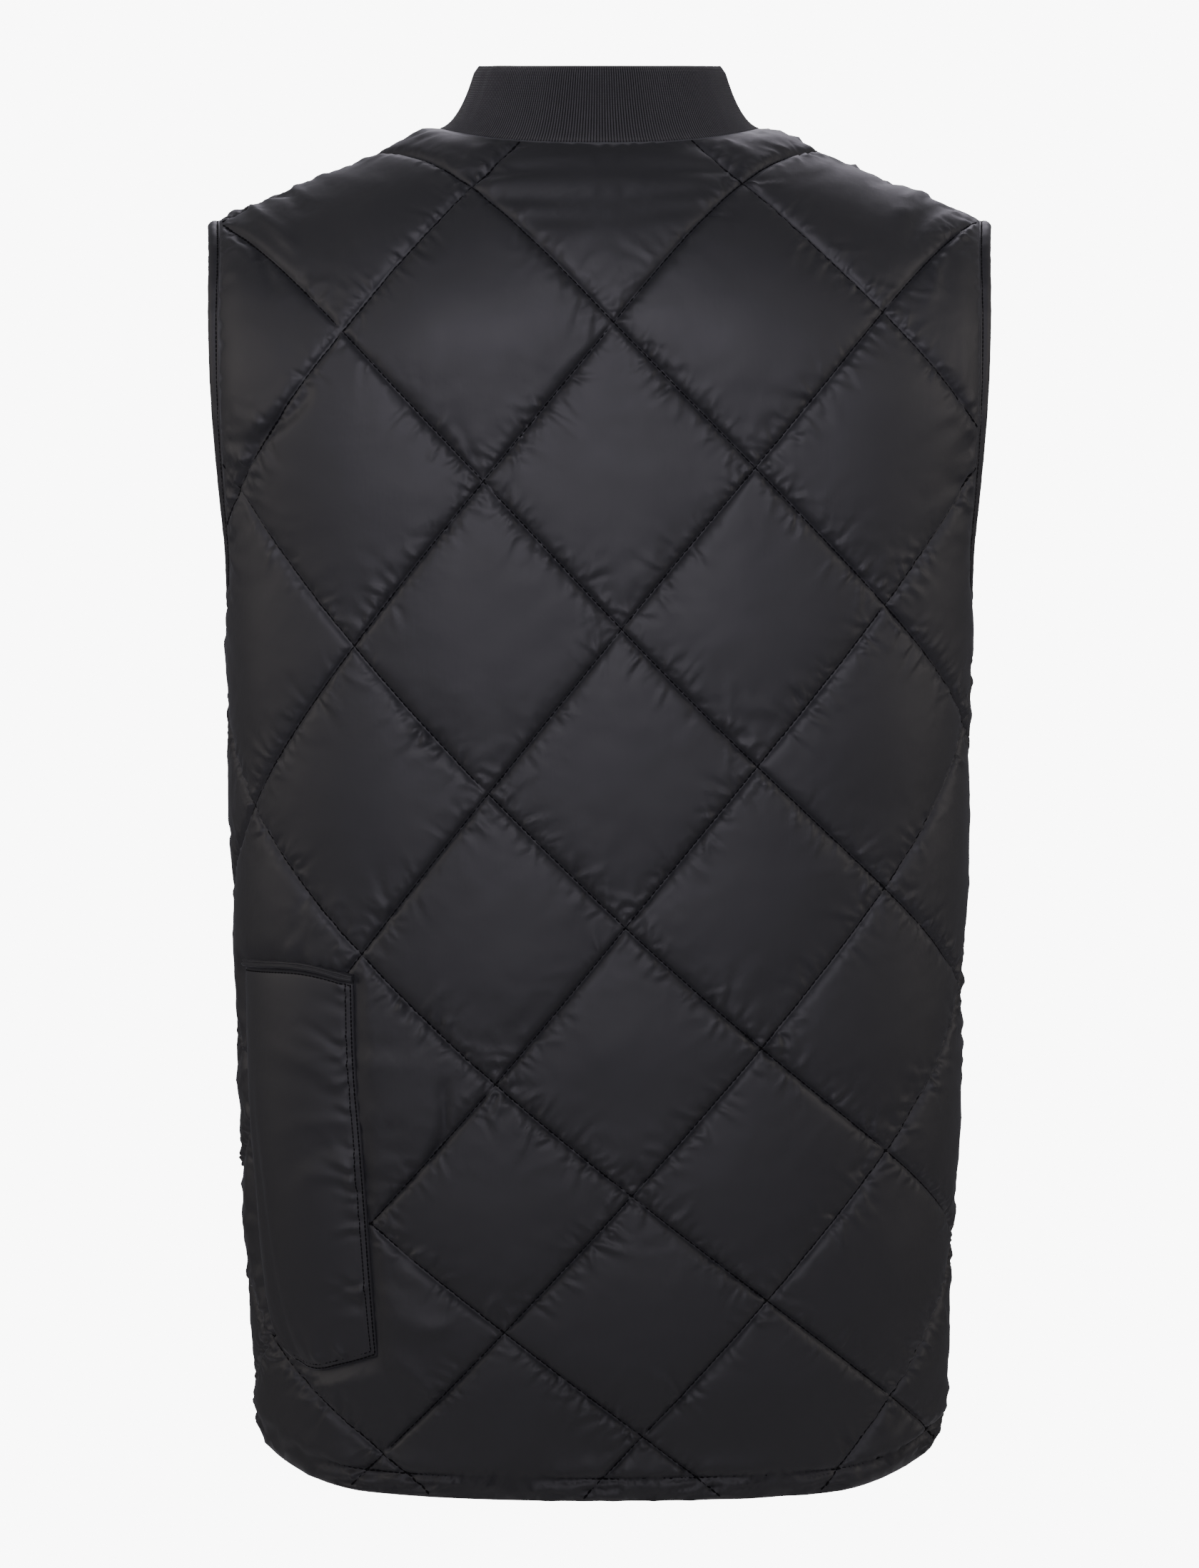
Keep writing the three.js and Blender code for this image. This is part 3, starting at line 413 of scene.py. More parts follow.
def depth_inside(outline, places):
    """Distance from each place to a closed outline, positive inside it."""
    nearest = np.full(len(places), np.inf)
    inside = np.zeros(len(places), bool)
    x, y = places.T
    for p, q in zip(outline, np.roll(outline, -1, axis=0)):
        edge = q - p
        t = np.clip(((x - p[0]) * edge[0] + (y - p[1]) * edge[1]) / (edge @ edge), 0, 1)
        nearest = np.minimum(nearest, (x - p[0] - t * edge[0]) ** 2 + (y - p[1] - t * edge[1]) ** 2)
        if p[1] == q[1]:
            continue
        crosses = (p[1] > y) != (q[1] > y)
        inside ^= crosses & (x < p[0] + edge[0] * (y - p[1]) / edge[1])
    return np.sqrt(nearest) * np.where(inside, 1, -1)


def quilt_place(side, p, q):
    rows = QUILTING[side]
    row = p + q
    height, tilt, shift = (read_table(rows["row"], rows[key], row) for key in ("height", "tilt", "shift"))
    arc = QUILT_COLUMN * (p - q) + shift
    return np.stack([arc, height + tilt * arc], axis=-1)


def quilt_lines(side, places):
    """How far each place is along the quilting's two families of lines."""
    rows = QUILTING[side]
    arc, height = places.T
    low, high = np.full(len(places), -6.0), np.full(len(places), 14.0)
    for _ in range(36):
        middle = (low + high) / 2
        at = read_table(rows["row"], rows["height"], middle)
        at = at + read_table(rows["row"], rows["tilt"], middle) * arc
        above = at > height
        low, high = np.where(above, middle, low), np.where(above, high, middle)
    column = (arc - read_table(rows["row"], rows["shift"], low)) / QUILT_COLUMN
    return (low + column) / 2, (low - column) / 2


def quilt_lattice(side, rings):
    """Places over the diamonds on rings inside their stitch lines, closest together beside them."""
    cell = []
    for away, step in rings:
        inset = away / DIAMOND_SIDE
        count = max(round((1 - 2 * inset) * DIAMOND_SIDE / step), 1)
        edge = inset + (1 - 2 * inset) * np.arange(count) / count
        low, high = np.full(count, inset), np.full(count, 1 - inset)
        cell += [np.stack(pair, axis=1) for pair in ((edge, low), (low, 1 - edge))]
        if away > 0:
            cell += [np.stack(pair, axis=1) for pair in ((1 - edge, high), (high, edge))]
    cell = np.vstack([*cell, [[0.5, 0.5]]])
    corners = np.stack(np.meshgrid(np.arange(-7, 9), np.arange(-7, 9), indexing="ij"), axis=-1)
    lines = (corners.reshape(-1, 1, 2) + cell[None]).reshape(-1, 2)
    return quilt_place(side, lines[:, 0], lines[:, 1])


def triangulate(outline, places, clear):
    """Triangles over an outline and the places that lie inside it, with the outline's own first."""
    box = (places > outline.min(axis=0)).all(axis=1) & (places < outline.max(axis=0)).all(axis=1)
    places = places[box]
    depth = depth_inside(outline[::3], places)
    border = np.abs(depth) < 3 * clear + 1
    depth[border] = depth_inside(outline, places[border])
    places = places[depth > clear]
    everything = np.vstack([outline, places])
    rim = list(range(len(outline)))
    verts, _, faces, origin, _, _ = geometry.delaunay_2d_cdt(
        [Vector(p) for p in everything], [], [rim], 1, 1e-4
    )
    of_input = np.zeros(len(everything), int)
    for n, sources in enumerate(origin):
        for source in sources:
            of_input[source] = n
    return np.array([tuple(v) for v in verts]), faces, of_input[: len(outline)]


# The cloth's relief over its inner face.

def patch_edge(name, t):
    """Places along one of the patch's edges, at shares of its length."""
    line = spline(PATCH_EDGES[name], 60)
    at = np.linspace(0, 1, len(line))
    return np.stack([np.interp(t, at, line[:, k]) for k in (0, 1)], axis=-1)


def patch_place(u, v):
    """A place on the hip patch: u from its outer to its inner edge, v from its mouth down."""
    u1, v1 = u[..., None], v[..., None]
    place = patch_edge("outer", v) * (1 - u1) + patch_edge("inner", v) * u1
    for name, share in (("mouth", 1 - v1), ("bottom", v1)):
        first, last = patch_edge(name, np.array([0.0, 1.0]))
        place += (patch_edge(name, u) - first * (1 - u1) - last * u1) * share
    return place


def patch_outline():
    t = np.linspace(0, 1, 40)[:-1]
    zero, one = np.zeros_like(t), np.ones_like(t)
    sides = (patch_place(t, zero), patch_place(one, t), patch_place(1 - t, one), patch_place(zero, 1 - t))
    return np.vstack(sides)


def crease_relief(side, places):
    """The named creases, each a soft trough or ridge that fades at its ends."""
    lift = np.zeros(len(places))
    for x0, y0, x1, y1, depth, width in CREASES[side]:
        off, run = places - (x0, y0), np.array([x1 - x0, y1 - y0], float)
        length = np.linalg.norm(run)
        along = off @ run / length**2
        aside = (off[:, 0] * run[1] - off[:, 1] * run[0]) / length
        aside = aside + CREASE["wander"] * np.sin(along * CREASE["waves"] + x0)
        fade = ease((along + CREASE["past"]) * CREASE["fade"])
        fade = fade * ease((1 + CREASE["past"] - along) * CREASE["fade"])
        lift -= depth * np.exp(-((aside / width) ** 2)) * fade
    return lift


def stitch_wrinkles(side, seed):
    """Small wrinkles off the quilting lines, in clusters: start, end, height and width of each."""
    random, rows = np.random.default_rng(seed), []
    for family in (0, 1):
        for line in range(-7, 9):
            for hand in (-1, 1):
                other = random.uniform(-7, 8, WRINKLES["per_line"])
                busy = smooth_noise(seed + 16 * family + line, 97, 3.3 * (other + 7) + 50 + hand)
                other = other[random.uniform(-0.9, 1, len(other)) < busy]

                def at(across, along=0.0):
                    pair = (line + across + 0 * other, other + along)
                    return quilt_place(side, *pair[:: 1 if family == 0 else -1])

                across, along = at(0.1 * hand) - at(0), at(0, 0.05) - at(0, -0.05)
                across, along = (v / np.linalg.norm(v, axis=1, keepdims=True) for v in (across, along))
                rows.append(wrinkle_rows(random, at(0.006 * hand), across, along, WRINKLES["stitch"]))
    return np.vstack(rows)


def edge_wrinkles(line, seed, hand, kind):
    """Wrinkles off an edge: to the right of its way for hand 1, to its left for -1."""
    random = np.random.default_rng(seed)
    length = np.linalg.norm(np.diff(line, axis=0), axis=1).sum()
    line = resample(line, round(length / WRINKLES["edge_step"]))
    along = np.gradient(line, axis=0)
    along /= np.linalg.norm(along, axis=1, keepdims=True)
    across = np.stack([along[:, 1], -along[:, 0]], axis=1) * hand
    kept = random.uniform(-0.8, 1, len(line)) < smooth_noise(seed, 97, np.arange(len(line)) / 5.0)
    start = line[kept] + across[kept] * WRINKLES["edge_start"]
    return wrinkle_rows(random, start, across[kept], along[kept], WRINKLES[kind])


def wrinkle_rows(random, start, across, along, kind):
    """The start, end, height and width of wrinkles that leave an edge at their starts."""
    count = len(start)
    slant = random.normal(0, kind["slant"], (count, 1))
    length = random.gamma(kind["shape"], kind["length"], (count, 1))
    length = np.clip(length, WRINKLES["shortest"], kind["longest"])
    end = start + (across * np.cos(slant) + along * np.sin(slant)) * length
    height = kind["height"] * random.uniform(0.45, 1.3, (count, 1))
    height *= np.where(random.uniform(0, 1, (count, 1)) < WRINKLES["ridges"], 1, -1)
    width = kind["width"] * random.uniform(0.75, 1.3, (count, 1)) * (0.8 + length / 40)
    return np.hstack([start, end, height, width])


def wrinkle_relief(wrinkles, places):
    """The height that wrinkles add: each a sharp ridge or trough with a softer one beside it."""
    lift, cell, stride = np.zeros(len(places)), WRINKLES["cell"], 4096

    def cells(low, high):
        return (int((v + margin) // cell) + stride // 2 for v, margin in ((low, -5), (high, 5)))

    spots = np.floor(places / cell).astype(int) + stride // 2
    keys = spots[:, 0] * stride + spots[:, 1]
    order = np.argsort(keys, kind="stable")
    keys = keys[order]
    for x0, y0, x1, y1, height, width in wrinkles:
        left, right = cells(min(x0, x1), max(x0, x1))
        low, high = cells(min(y0, y1), max(y0, y1))
        near = [
            order[slice(*np.searchsorted(keys, (column * stride + low, column * stride + high + 1)))]
            for column in range(left, right + 1)
        ]
        near = np.concatenate(near)
        if not len(near):
            continue
        off_x, off_y = places[near, 0] - x0, places[near, 1] - y0
        run_x, run_y = x1 - x0, y1 - y0
        length = math.hypot(run_x, run_y)
        along = (off_x * run_x + off_y * run_y) / length**2
        aside = (off_x * run_y - off_y * run_x) / length + 0.06 * length * np.sin(3 * along + x0)
        wide = width * (0.75 + 0.6 * np.clip(along, 0, 1))
        trough = np.exp(-(((aside - 1.9 * wide) / (1.2 * wide)) ** 2))
        shape = np.exp(-((aside / wide) ** 2)) - 0.5 * trough
        lift[near] += height * shape * ease(along * 6) * np.clip(1 - along, 0, 1) ** 0.8
    return lift


def pucker(seed, along, away, length, wave):
    """Puckers off a line of stitches: sharp little ridges, in clusters, some of them slanting."""
    slant = 1.1 * smooth_noise(seed + 2, 997, along / 17)
    reach = length * (1 + 0.6 * smooth_noise(seed + 3, 997, along / 13))
    strength = 0.35 + 0.95 * ease(0.5 + smooth_noise(seed + 4, 997, along / 22))
    place = along + slant * away
    ridges = 0.0
    for n, (size, share) in enumerate(((wave, 1.0), (wave * 0.52, 0.45))):
        rough = smooth_noise(seed + 5 * n, 997, place / size)
        ridges = ridges + share * ((1 - np.abs(rough)) ** 2.2 - 0.42)
    return strength * ridges * (away / (away + 1.6)) * np.exp(-((away / reach) ** 1.4))


# Ties in the net that a puff's cloth is made of: steps along, steps across and stiffness.
NET_TIES = (
    (1, 0, 0.9), (0, 1, 0.9), (1, 1, 0.35), (1, -1, 0.35), (2, 0, 0.65), (0, 2, 0.65),
    (2, 2, 0.4), (2, -2, 0.4), (4, 0, 0.16), (0, 4, 0.16),
)
PUFF = {
    "kinds": 22, "points": 65, "rounds": 150, "push": 0.012, "drag": 0.85, "roundness": 0.4,
    "fullest": 3.9, "room": 1.0, "slack": 0.03, "slack_reach": 14, "core_slack": 0.005,
}


def settled_puffs(seed):
    """Heights of padded cloth over a diamond, from a net that settles between its stitches.

    The net is longer than its lining, most of all beside the stitches. Its ties keep their lengths
    and resist bending, the padding pushes it out, and it goes no higher than the padding fills.
    """
    random, n = np.random.default_rng(seed), PUFF["points"]
    share = np.linspace(0, 1, n)
    u, v = np.meshgrid(share, share, indexing="ij")
    away = np.minimum(np.minimum(u, 1 - u), np.minimum(v, 1 - v)) * DIAMOND_SIDE
    shape = np.maximum(np.sin(math.pi * u) * np.sin(math.pi * v), 0) ** PUFF["roundness"]
    highest = (PUFF["fullest"] * shape + PUFF["room"] * (away > 0)).astype(np.float32)
    x = np.zeros((PUFF["kinds"], n, n, 3), np.float32)
    x[..., 0], x[..., 1] = u * DIAMOND_SIDE, v * DIAMOND_SIDE
    rough = random.normal(0, 1.5, x.shape[:3])
    for _ in range(2):
        rough = sum(np.roll(rough, k, axis) for k, axis in ((0, 1), (1, 1), (-1, 1), (1, 2), (-1, 2))) / 5
    x[..., 2] = PUFF["fullest"] * shape + rough * (away > 0)
    patches = random.normal(0, 1, (PUFF["kinds"], 10, 10))
    at = share * 8.999
    low, part = at.astype(int), at - at.astype(int)
    patches = patches[:, low] * (1 - part)[:, None] + patches[:, low + 1] * part[:, None]
    patches = patches[:, :, low] * (1 - part) + patches[:, :, low + 1] * part
    slack = PUFF["slack"] * np.exp(-away / PUFF["slack_reach"]) * np.clip(1 + 0.8 * patches, 0, 3)
    longer = (1 + PUFF["core_slack"] + slack).astype(np.float32)
    free = (away > 0).astype(np.float32)[None, :, :, None]
    pitch = DIAMOND_SIDE / (n - 1)
    ties = []
    for along, across, stiffness in NET_TIES:
        first, second = (along, across) if along else (across, along)
        side = slice(0, n - abs(second)), slice(abs(second), n)
        if second < 0:
            side = side[::-1]
        for start in range(2 * first):
            ends = slice(start, n - first, 2 * first), slice(start + first, n, 2 * first)
            a, b = ((slice(None), *((ends[k], side[k]) if along else (side[k], ends[k]))) for k in (0, 1))
            length = pitch * math.hypot(along, across) * (longer[a] + longer[b])[..., None] / 2
            ties.append((a, b, length, stiffness / 2))
    last = x.copy()
    for _ in range(PUFF["rounds"]):
        carried = (x - last) * PUFF["drag"]
        last = x.copy()
        x += carried * free
        x[..., 2] += PUFF["push"] * free[..., 0]
        for a, b, length, stiffness in ties:
            gap = x[b] - x[a]
            now = np.sqrt((gap * gap).sum(axis=-1, keepdims=True)) + 1e-6
            gap *= stiffness * (1 - length / now)
            x[a] += gap * free[a]
            x[b] -= gap * free[b]
        x[..., 2] = np.clip(x[..., 2], -0.4, highest)
    return x[..., 2]


def puff_height(puffs, p, q, seed):
    """The height of the puffs at places along the two families of stitch lines."""
    cell = np.stack([np.floor(p), np.floor(q)], axis=1).astype(int)
    kind = np.random.default_rng(seed).integers(0, len(puffs), (64, 64))[cell[:, 0] % 64, cell[:, 1] % 64]
    last = puffs.shape[1] - 1
    u, v = (p - np.floor(p)) * last, (q - np.floor(q)) * last
    i, j = (np.minimum(c.astype(int), last - 1) for c in (u, v))
    u, v = u - i, v - j
    return (
        puffs[kind, i, j] * (1 - u) * (1 - v) + puffs[kind, i + 1, j] * u * (1 - v)
        + puffs[kind, i, j + 1] * (1 - u) * v + puffs[kind, i + 1, j + 1] * u * v
    )


def crumple(seed, places, size):
    """Soft facets with sharper ridges between them."""
    x, y = (places / size).T
    bend = smooth_noise(seed, 61, x * 0.6, y * 0.6)
    first = smooth_noise(seed + 1, 61, x + 1.3 * bend, y - bend)
    second = smooth_noise(seed + 2, 61, 2.1 * x - bend, 2.1 * y + 1.2 * bend)
    return (1 - np.abs(first)) ** 2 - 0.42 + 0.4 * ((1 - np.abs(second)) ** 2 - 0.42)


def panel_wrinkles(side, seed, outline):
    rows = [stitch_wrinkles(side, seed + 80), edge_wrinkles(outline, seed + 84, 1, "edge")]
    if side == "back":
        rows.append(edge_wrinkles(patch_outline(), seed + 86, 1, "edge"))
    return np.vstack(rows)


def quilted_relief(side, places, outline, seed, puffs, wrinkles=()):
    """The outer face's height over the inner face, for each place of a quilted panel."""
    inside, keep_flat = depth_inside(outline, places), np.ones(len(places))
    lines = quilt_lines(side, places)
    if side == "back":
        keep_flat = ease(-depth_inside(patch_outline(), places) / PATCH["fade"])
    off_patch = ease(keep_flat * 4)
    full = ease(inside / WALL["seam_fade"])
    puff = puff_height(puffs, *lines, seed)
    lift = WALL["seam"] + full * (WALL["stitch"] + puff * keep_flat - WALL["seam"])
    below = [(1 - line + np.floor(line)) * DIAMOND_SIDE for line in lines]
    corner = np.exp(-((np.hypot(*below) / CRUMPLE["corner_reach"]) ** 2))
    rough = crumple(seed + 50, places, CRUMPLE["size"])
    lift += (CRUMPLE["plain"] + CRUMPLE["corner"] * corner) * rough * full
    if len(wrinkles):
        lift += wrinkle_relief(wrinkles, places) * off_patch * ease(inside / EDGE["wrinkles_over"])
    swell = smooth_noise(seed + 5, 61, places[:, 0] / SWELL["across"], places[:, 1] / SWELL["down"])
    lift += SWELL["height"] * keep_flat * full * swell
    lift += crease_relief(side, places)
    nearest = np.minimum(*(np.abs(line - np.round(line)) * DIAMOND_SIDE for line in lines))
    groove = np.exp(-((nearest / STITCH_GROOVE["width"]) ** 2))
    lift -= STITCH_GROOVE["depth"] * groove * full * off_patch
    edge = np.clip(inside, 0, None)
    lift *= EDGE["share"] + (1 - EDGE["share"]) * ease(edge / EDGE["over"])
    run = np.arctan2(places[:, 1] - EDGE["middle"], places[:, 0]) * EDGE["radius"]
    lift += EDGE["pucker"] * pucker(seed + 40, run, edge, EDGE["reach"], EDGE["wave"])
    return np.maximum(with_hem(side, places, inside, lift, seed), THINNEST)


def with_hem(side, places, inside, lift, seed):
    """The relief with the hem's stitched groove, its folded band and the bulge above it."""
    across = places[:, 0]
    up = places[:, 1] - hem_height(side, across)
    over = up - HEM_BAND["stitch"]
    groove = np.exp(-((over / HEM_BAND["groove"]) ** 2)) * ease((inside + 1) / 6)
    lift = lift - (lift - HEM_BAND["bed"]) * HEM_BAND["hold"] * groove
    band = ease((1 - over) / 2) * ease((up + 1) / 2)
    folds = smooth_noise(seed + 60, 97, across / 19 + up / 6, up / 3.6)
    lift += band * HEM_BAND["fold"] * ((1 - np.abs(folds)) ** 2 - 0.4)
    above = np.exp(-(((over - HEM_BAND["above"]) / HEM_BAND["spread"]) ** 2))
    bulge = HEM_BAND["bulge"] + HEM_BAND["vary"] * smooth_noise(seed + 61, 97, across / 26)
    ripples = pucker(seed + 62, across, np.abs(over), HEM_BAND["reach"], HEM_BAND["wave"])
    return lift + above * bulge + HEM_BAND["pucker"] * ripples


# Making meshes.

def new_object(name, mesh):
    thing = bpy.data.objects.new(name, mesh)
    bpy.context.scene.collection.objects.link(thing)
    return thing


def make_mesh(name, points, faces, cloth=None, smooth=True):
    """A mesh from points in millimetres, with the cloth's own places as its UV map."""
    mesh = bpy.data.meshes.new(name)
    mesh.from_pydata((np.asarray(points) * MM).tolist(), [], [list(map(int, f)) for f in faces])
    if cloth is not None:
        layer = mesh.uv_layers.new(name="cloth")
        corners = np.zeros(len(mesh.loops), int)
        mesh.loops.foreach_get("vertex_index", corners)
        layer.data.foreach_set("uv", (np.asarray(cloth)[corners] * MM).ravel())
    mesh.polygons.foreach_set("use_smooth", [smooth] * len(mesh.polygons))
    mesh.update()
    return new_object(name, mesh)


def facing_out(points, faces):
    """The same faces, turned if their closed body points inwards."""
    triangles = np.array([f[:3] for f in faces])
    a, b, c = (points[triangles[:, k]] for k in range(3))
    volume = np.einsum("ij,ij->i", a - points.mean(axis=0), np.cross(b - a, c - a)).sum()
    return faces if volume > 0 else [list(f)[::-1] for f in faces]


def mirrored(name, thing):
    """The same piece on the wearer's other side."""
    mesh = thing.data.copy()
    mesh.name = name
    flat = np.zeros(len(mesh.vertices) * 3)
    mesh.vertices.foreach_get("co", flat)
    flat[::3] *= -1
    mesh.vertices.foreach_set("co", flat)
    mesh.flip_normals()
    mesh.update()
    return new_object(name, mesh)


def make_panel(name, side, seed, puffs):
    """A quilted panel: a fine outer face, a plain inner face and the rim between them."""
    body = BODY[side]
    outline, rough = panel_outline(side, 2.4), panel_outline(side, 7)
    flat, faces, rim = triangulate(outline, quilt_lattice(side, FINE_RINGS), 1.2)
    lift = quilted_relief(side, flat, rough, seed, puffs, panel_wrinkles(side, seed, outline))
    outer = body.point(flat[:, 0], flat[:, 1], lift)
    flat_in, faces_in, rim_in = triangulate(outline, quilt_lattice(side, PLAIN_RINGS), 3)
    inner = body.place(flat_in[:, 0], flat_in[:, 1])
    offset = len(outer)
    joined = [tuple(f) for f in faces] + [tuple(offset + v for v in reversed(f)) for f in faces_in]
    for n in range(len(outline)):
        a, b = rim[n], rim[(n + 1) % len(outline)]
        c, d = offset + rim_in[n], offset + rim_in[(n + 1) % len(outline)]
        joined.append((b, a, c, d))
    points = np.vstack([outer, inner])
    cloth = np.vstack([flat, flat_in])
    thing = make_mesh(name, points, facing_out(points, joined), cloth)
    repair_winding(thing)
    return thing


def repair_winding(thing):
    """Makes every face of a closed piece point out."""
    work = bmesh.new()
    work.from_mesh(thing.data)
    bmesh.ops.recalc_face_normals(work, faces=work.faces)
    work.to_mesh(thing.data)
    work.free()


def grid_faces(columns, rows):
    """Quads over a grid of columns by rows of points."""
    return [
        (i * rows + j, (i + 1) * rows + j, (i + 1) * rows + j + 1, i * rows + j + 1)
        for i in range(columns - 1) for j in range(rows - 1)
    ]


def tube_faces(stations, corners, closed):
    """Quads round a swept section, with end caps where the sweep is open."""
    faces = []
    for i in range(stations if closed else stations - 1):
        a, b = i * corners, ((i + 1) % stations) * corners
        faces += [(a + j, b + j, b + (j + 1) % corners, a + (j + 1) % corners) for j in range(corners)]
    if not closed:
        faces.append(tuple(range(corners))[::-1])
        faces.append(tuple((stations - 1) * corners + j for j in range(corners)))
    return faces


# The other cloth pieces.

def binding_stations(count):
    """Stations round the left armhole: its side, cloth place and the way out of the panel."""
    runs = []
    for side in ("back", "front"):
        line = armhole_line(side, 0, count)
        tangent = np.gradient(line, axis=0)
        tangent /= np.linalg.norm(tangent, axis=1, keepdims=True)
        away = np.stack([-tangent[:, 1], tangent[:, 0]], axis=1)
        order = slice(None, -1) if side == "back" else slice(None, 0, -1)
        runs.append((side, line[order], away[order]))
    return runs


# Outline of the binding's section: place out from the panel's edge, and lift off the worn surface.
BINDING_PROFILE = (
    (-0.7, 0.3), (-0.7, 1.4), (-0.4, 2.9), (0.5, 3.5), (1.3, 3.25), (1.9, 3.5), (2.8, 4.2), (4.2, 4.6),
    (5.8, 4.4), (7.2, 3.8), (8.2, 2.9), (8.7, 1.7), (8.3, 0.5), (7.2, -0.4), (5.6, -0.9), (3.6, -1.0),
    (1.8, -0.8), (0.2, -0.3),
)


def make_binding(name):
    """The strip folded over the left armhole's edge, with a topstitched groove beside the panel."""
    points, cloth = [], []
    stations = [
        (side, at, out)
        for side, line, away in binding_stations(BINDING["stations"])
        for at, out in zip(line, away)
    ]
    for n, (side, at, out) in enumerate(stations):
        run = n * BINDING["step"]
        ripple = sum(
            share * smooth_noise(seed, 997, np.array([run / wave]))[0]
            for seed, wave, share in ((71, 5.2, 1), (72, 2.6, 0.6))
        )
        for across, lift in BINDING_PROFILE:
            share = math.exp(-(((across - 2.6) / 2.6) ** 2)) * (lift > 2)
            place = at + out * (across + BINDING["sway"] * ripple * (across > 6))
            points.append(BODY[side].point(*place, lift + BINDING["ripple"] * ripple * share)[0])
            cloth.append((run, across + lift))
    faces = tube_faces(len(stations), len(BINDING_PROFILE), True)
    points = np.array(points)
    return make_mesh(name, points, facing_out(points, faces), cloth)


def sheet_over_back(name, columns, rows, place, relief):
    """A closed slab on the back over a grid of places, plain inside and in relief outside."""
    shares = np.meshgrid(np.linspace(0, 1, columns), np.linspace(0, 1, rows), indexing="ij")
    u, v = (share.ravel() for share in shares)
    flat = place(u, v)
    low, high = (BODY["back"].point(*flat.T, lift) for lift in (PATCH_BASE, relief(u, v)))
    count = columns * rows
    faces = grid_faces(columns, rows)
    faces += [tuple(count + n for n in reversed(f)) for f in faces]
    border = (
        [i * rows for i in range(columns)]
        + [(columns - 1) * rows + j for j in range(1, rows)]
        + [i * rows + rows - 1 for i in range(columns - 2, -1, -1)]
        + list(range(rows - 2, 0, -1))
    )
    faces += [(b, a, count + a, count + b) for a, b in zip(border, border[1:] + border[:1])]
    thing = make_mesh(name, np.vstack([high, low]), faces, np.vstack([flat, flat]))
    repair_winding(thing)
    return thing


def patch_relief(u, v):
    """The patch's outer face: a soft full bulge whose sewn edges are stitched down and puckered."""
    width, length = PATCH["width"], PATCH["length"]
    inner, outer, mouth, bottom = (1 - u) * width, u * width, v * length, (1 - v) * length
    full = np.sin(math.pi * u**0.8) ** 0.8 * np.sin(math.pi * v) ** 0.5
    lift = PATCH_BASE + PATCH["face"] + PATCH["bulge"] * full
    fold = np.exp(-(((u - 0.2 + 0.05 * np.sin(5 * v)) / 0.06) ** 2)) * ease(3 * v - 0.5)
    sewn = np.array([[width, 0], [width, length], [0.15 * width, length]])
    gathers = wrinkle_relief(edge_wrinkles(sewn, 201, -1, "edge"), np.stack([outer, mouth], axis=1))
    lift = lift + PATCH["gather"] * gathers - PATCH["fold"] * fold
    for away in (inner, bottom):
        for row in PATCH["stitch_rows"]:
            lift -= PATCH["row_depth"] * np.exp(-(((away - row) / PATCH["row_width"]) ** 2))
    edge = np.minimum.reduce([inner, outer, mouth, bottom])
    lift -= PATCH["edge_drop"] * np.exp(-((edge / PATCH["edge_width"]) ** 2))
    lift += PATCH["sway"] * smooth_noise(209, 31, u * 3.1, v * 5.3)
    return np.maximum(lift, PATCH_BASE + PATCH["thinnest"])


def welt_place(u, v):
    """A place on the welt: u along the patch's mouth, v up from it."""
    return patch_edge("mouth", u) + np.stack([0 * v, SEAM_GAP + v * PATCH["welt_width"]], axis=1)


def welt_relief(u, v):
    """The welt's outer face: a folded roll with a row of stitches pressed into it."""
    pressed = np.exp(-(((v - WELT["stitches_at"]) / 0.1) ** 2))
    roll = np.abs(np.sin(math.pi * v)) ** 0.4 - 0.5 * pressed
    sway = WELT["sway"] * smooth_noise(221, 61, u * 11, v * 1.5)
    return PATCH_BASE + WELT["face"] + WELT["roll"] * roll + sway


def patch_stitch_lines():
    """Rows of stitches down the patch's inner edge and along its bottom, and one by its mouth."""
    width, length = PATCH["width"], PATCH["length"]
    lines = []
    for row in PATCH["stitch_rows"]:
        right, low = 1 - row / width, 1 - row / length
        corners = np.array([[right, 0.01], [right, low], [0.2, low]]) * (width, length)
        u, v = (resample(corners, 260) / (width, length)).T
        lines.append((u, v))
    lines.append((np.linspace(0.04, 0.97, 90), np.full(90, PATCH["stitch_rows"][0] / length)))
    made = []
    for u, v in lines:
        made.append(BODY["back"].point(*patch_place(u, v).T, patch_relief(u, v)))
    return made


def binding_stitch_line(across=1.3, lift=3.35):
    """The row of stitches in the groove of the left armhole's binding."""
    points = [
        BODY[side].point(place[0], place[1], lift)[0]
        for side, line, away in binding_stations(BINDING["stations"])
        for place in line + away * across
    ]
    return np.array(points + points[:1])


def neck_seam(angle):
    """Points and outward directions of the neck seam at angles from the middle of the back."""
    turn = np.abs(angle)
    across, deep = neck_plan(turn)
    at, out = np.zeros((len(turn), 3)), np.zeros((len(turn), 3))
    for side, chosen in (("back", turn < math.pi / 2), ("front", turn >= math.pi / 2)):
        if chosen.any():
            flat = BODY[side].from_plan(across[chosen], np.abs(deep[chosen]))
            at[chosen] = BODY[side].place(flat[:, 0], flat[:, 1])
            out[chosen] = BODY[side].normal(flat[:, 0], flat[:, 1])
    mirror = np.sign(angle + 1e-12)[:, None] * (1, 0, 0) + (0, 1, 1)
    return at * mirror, out * mirror


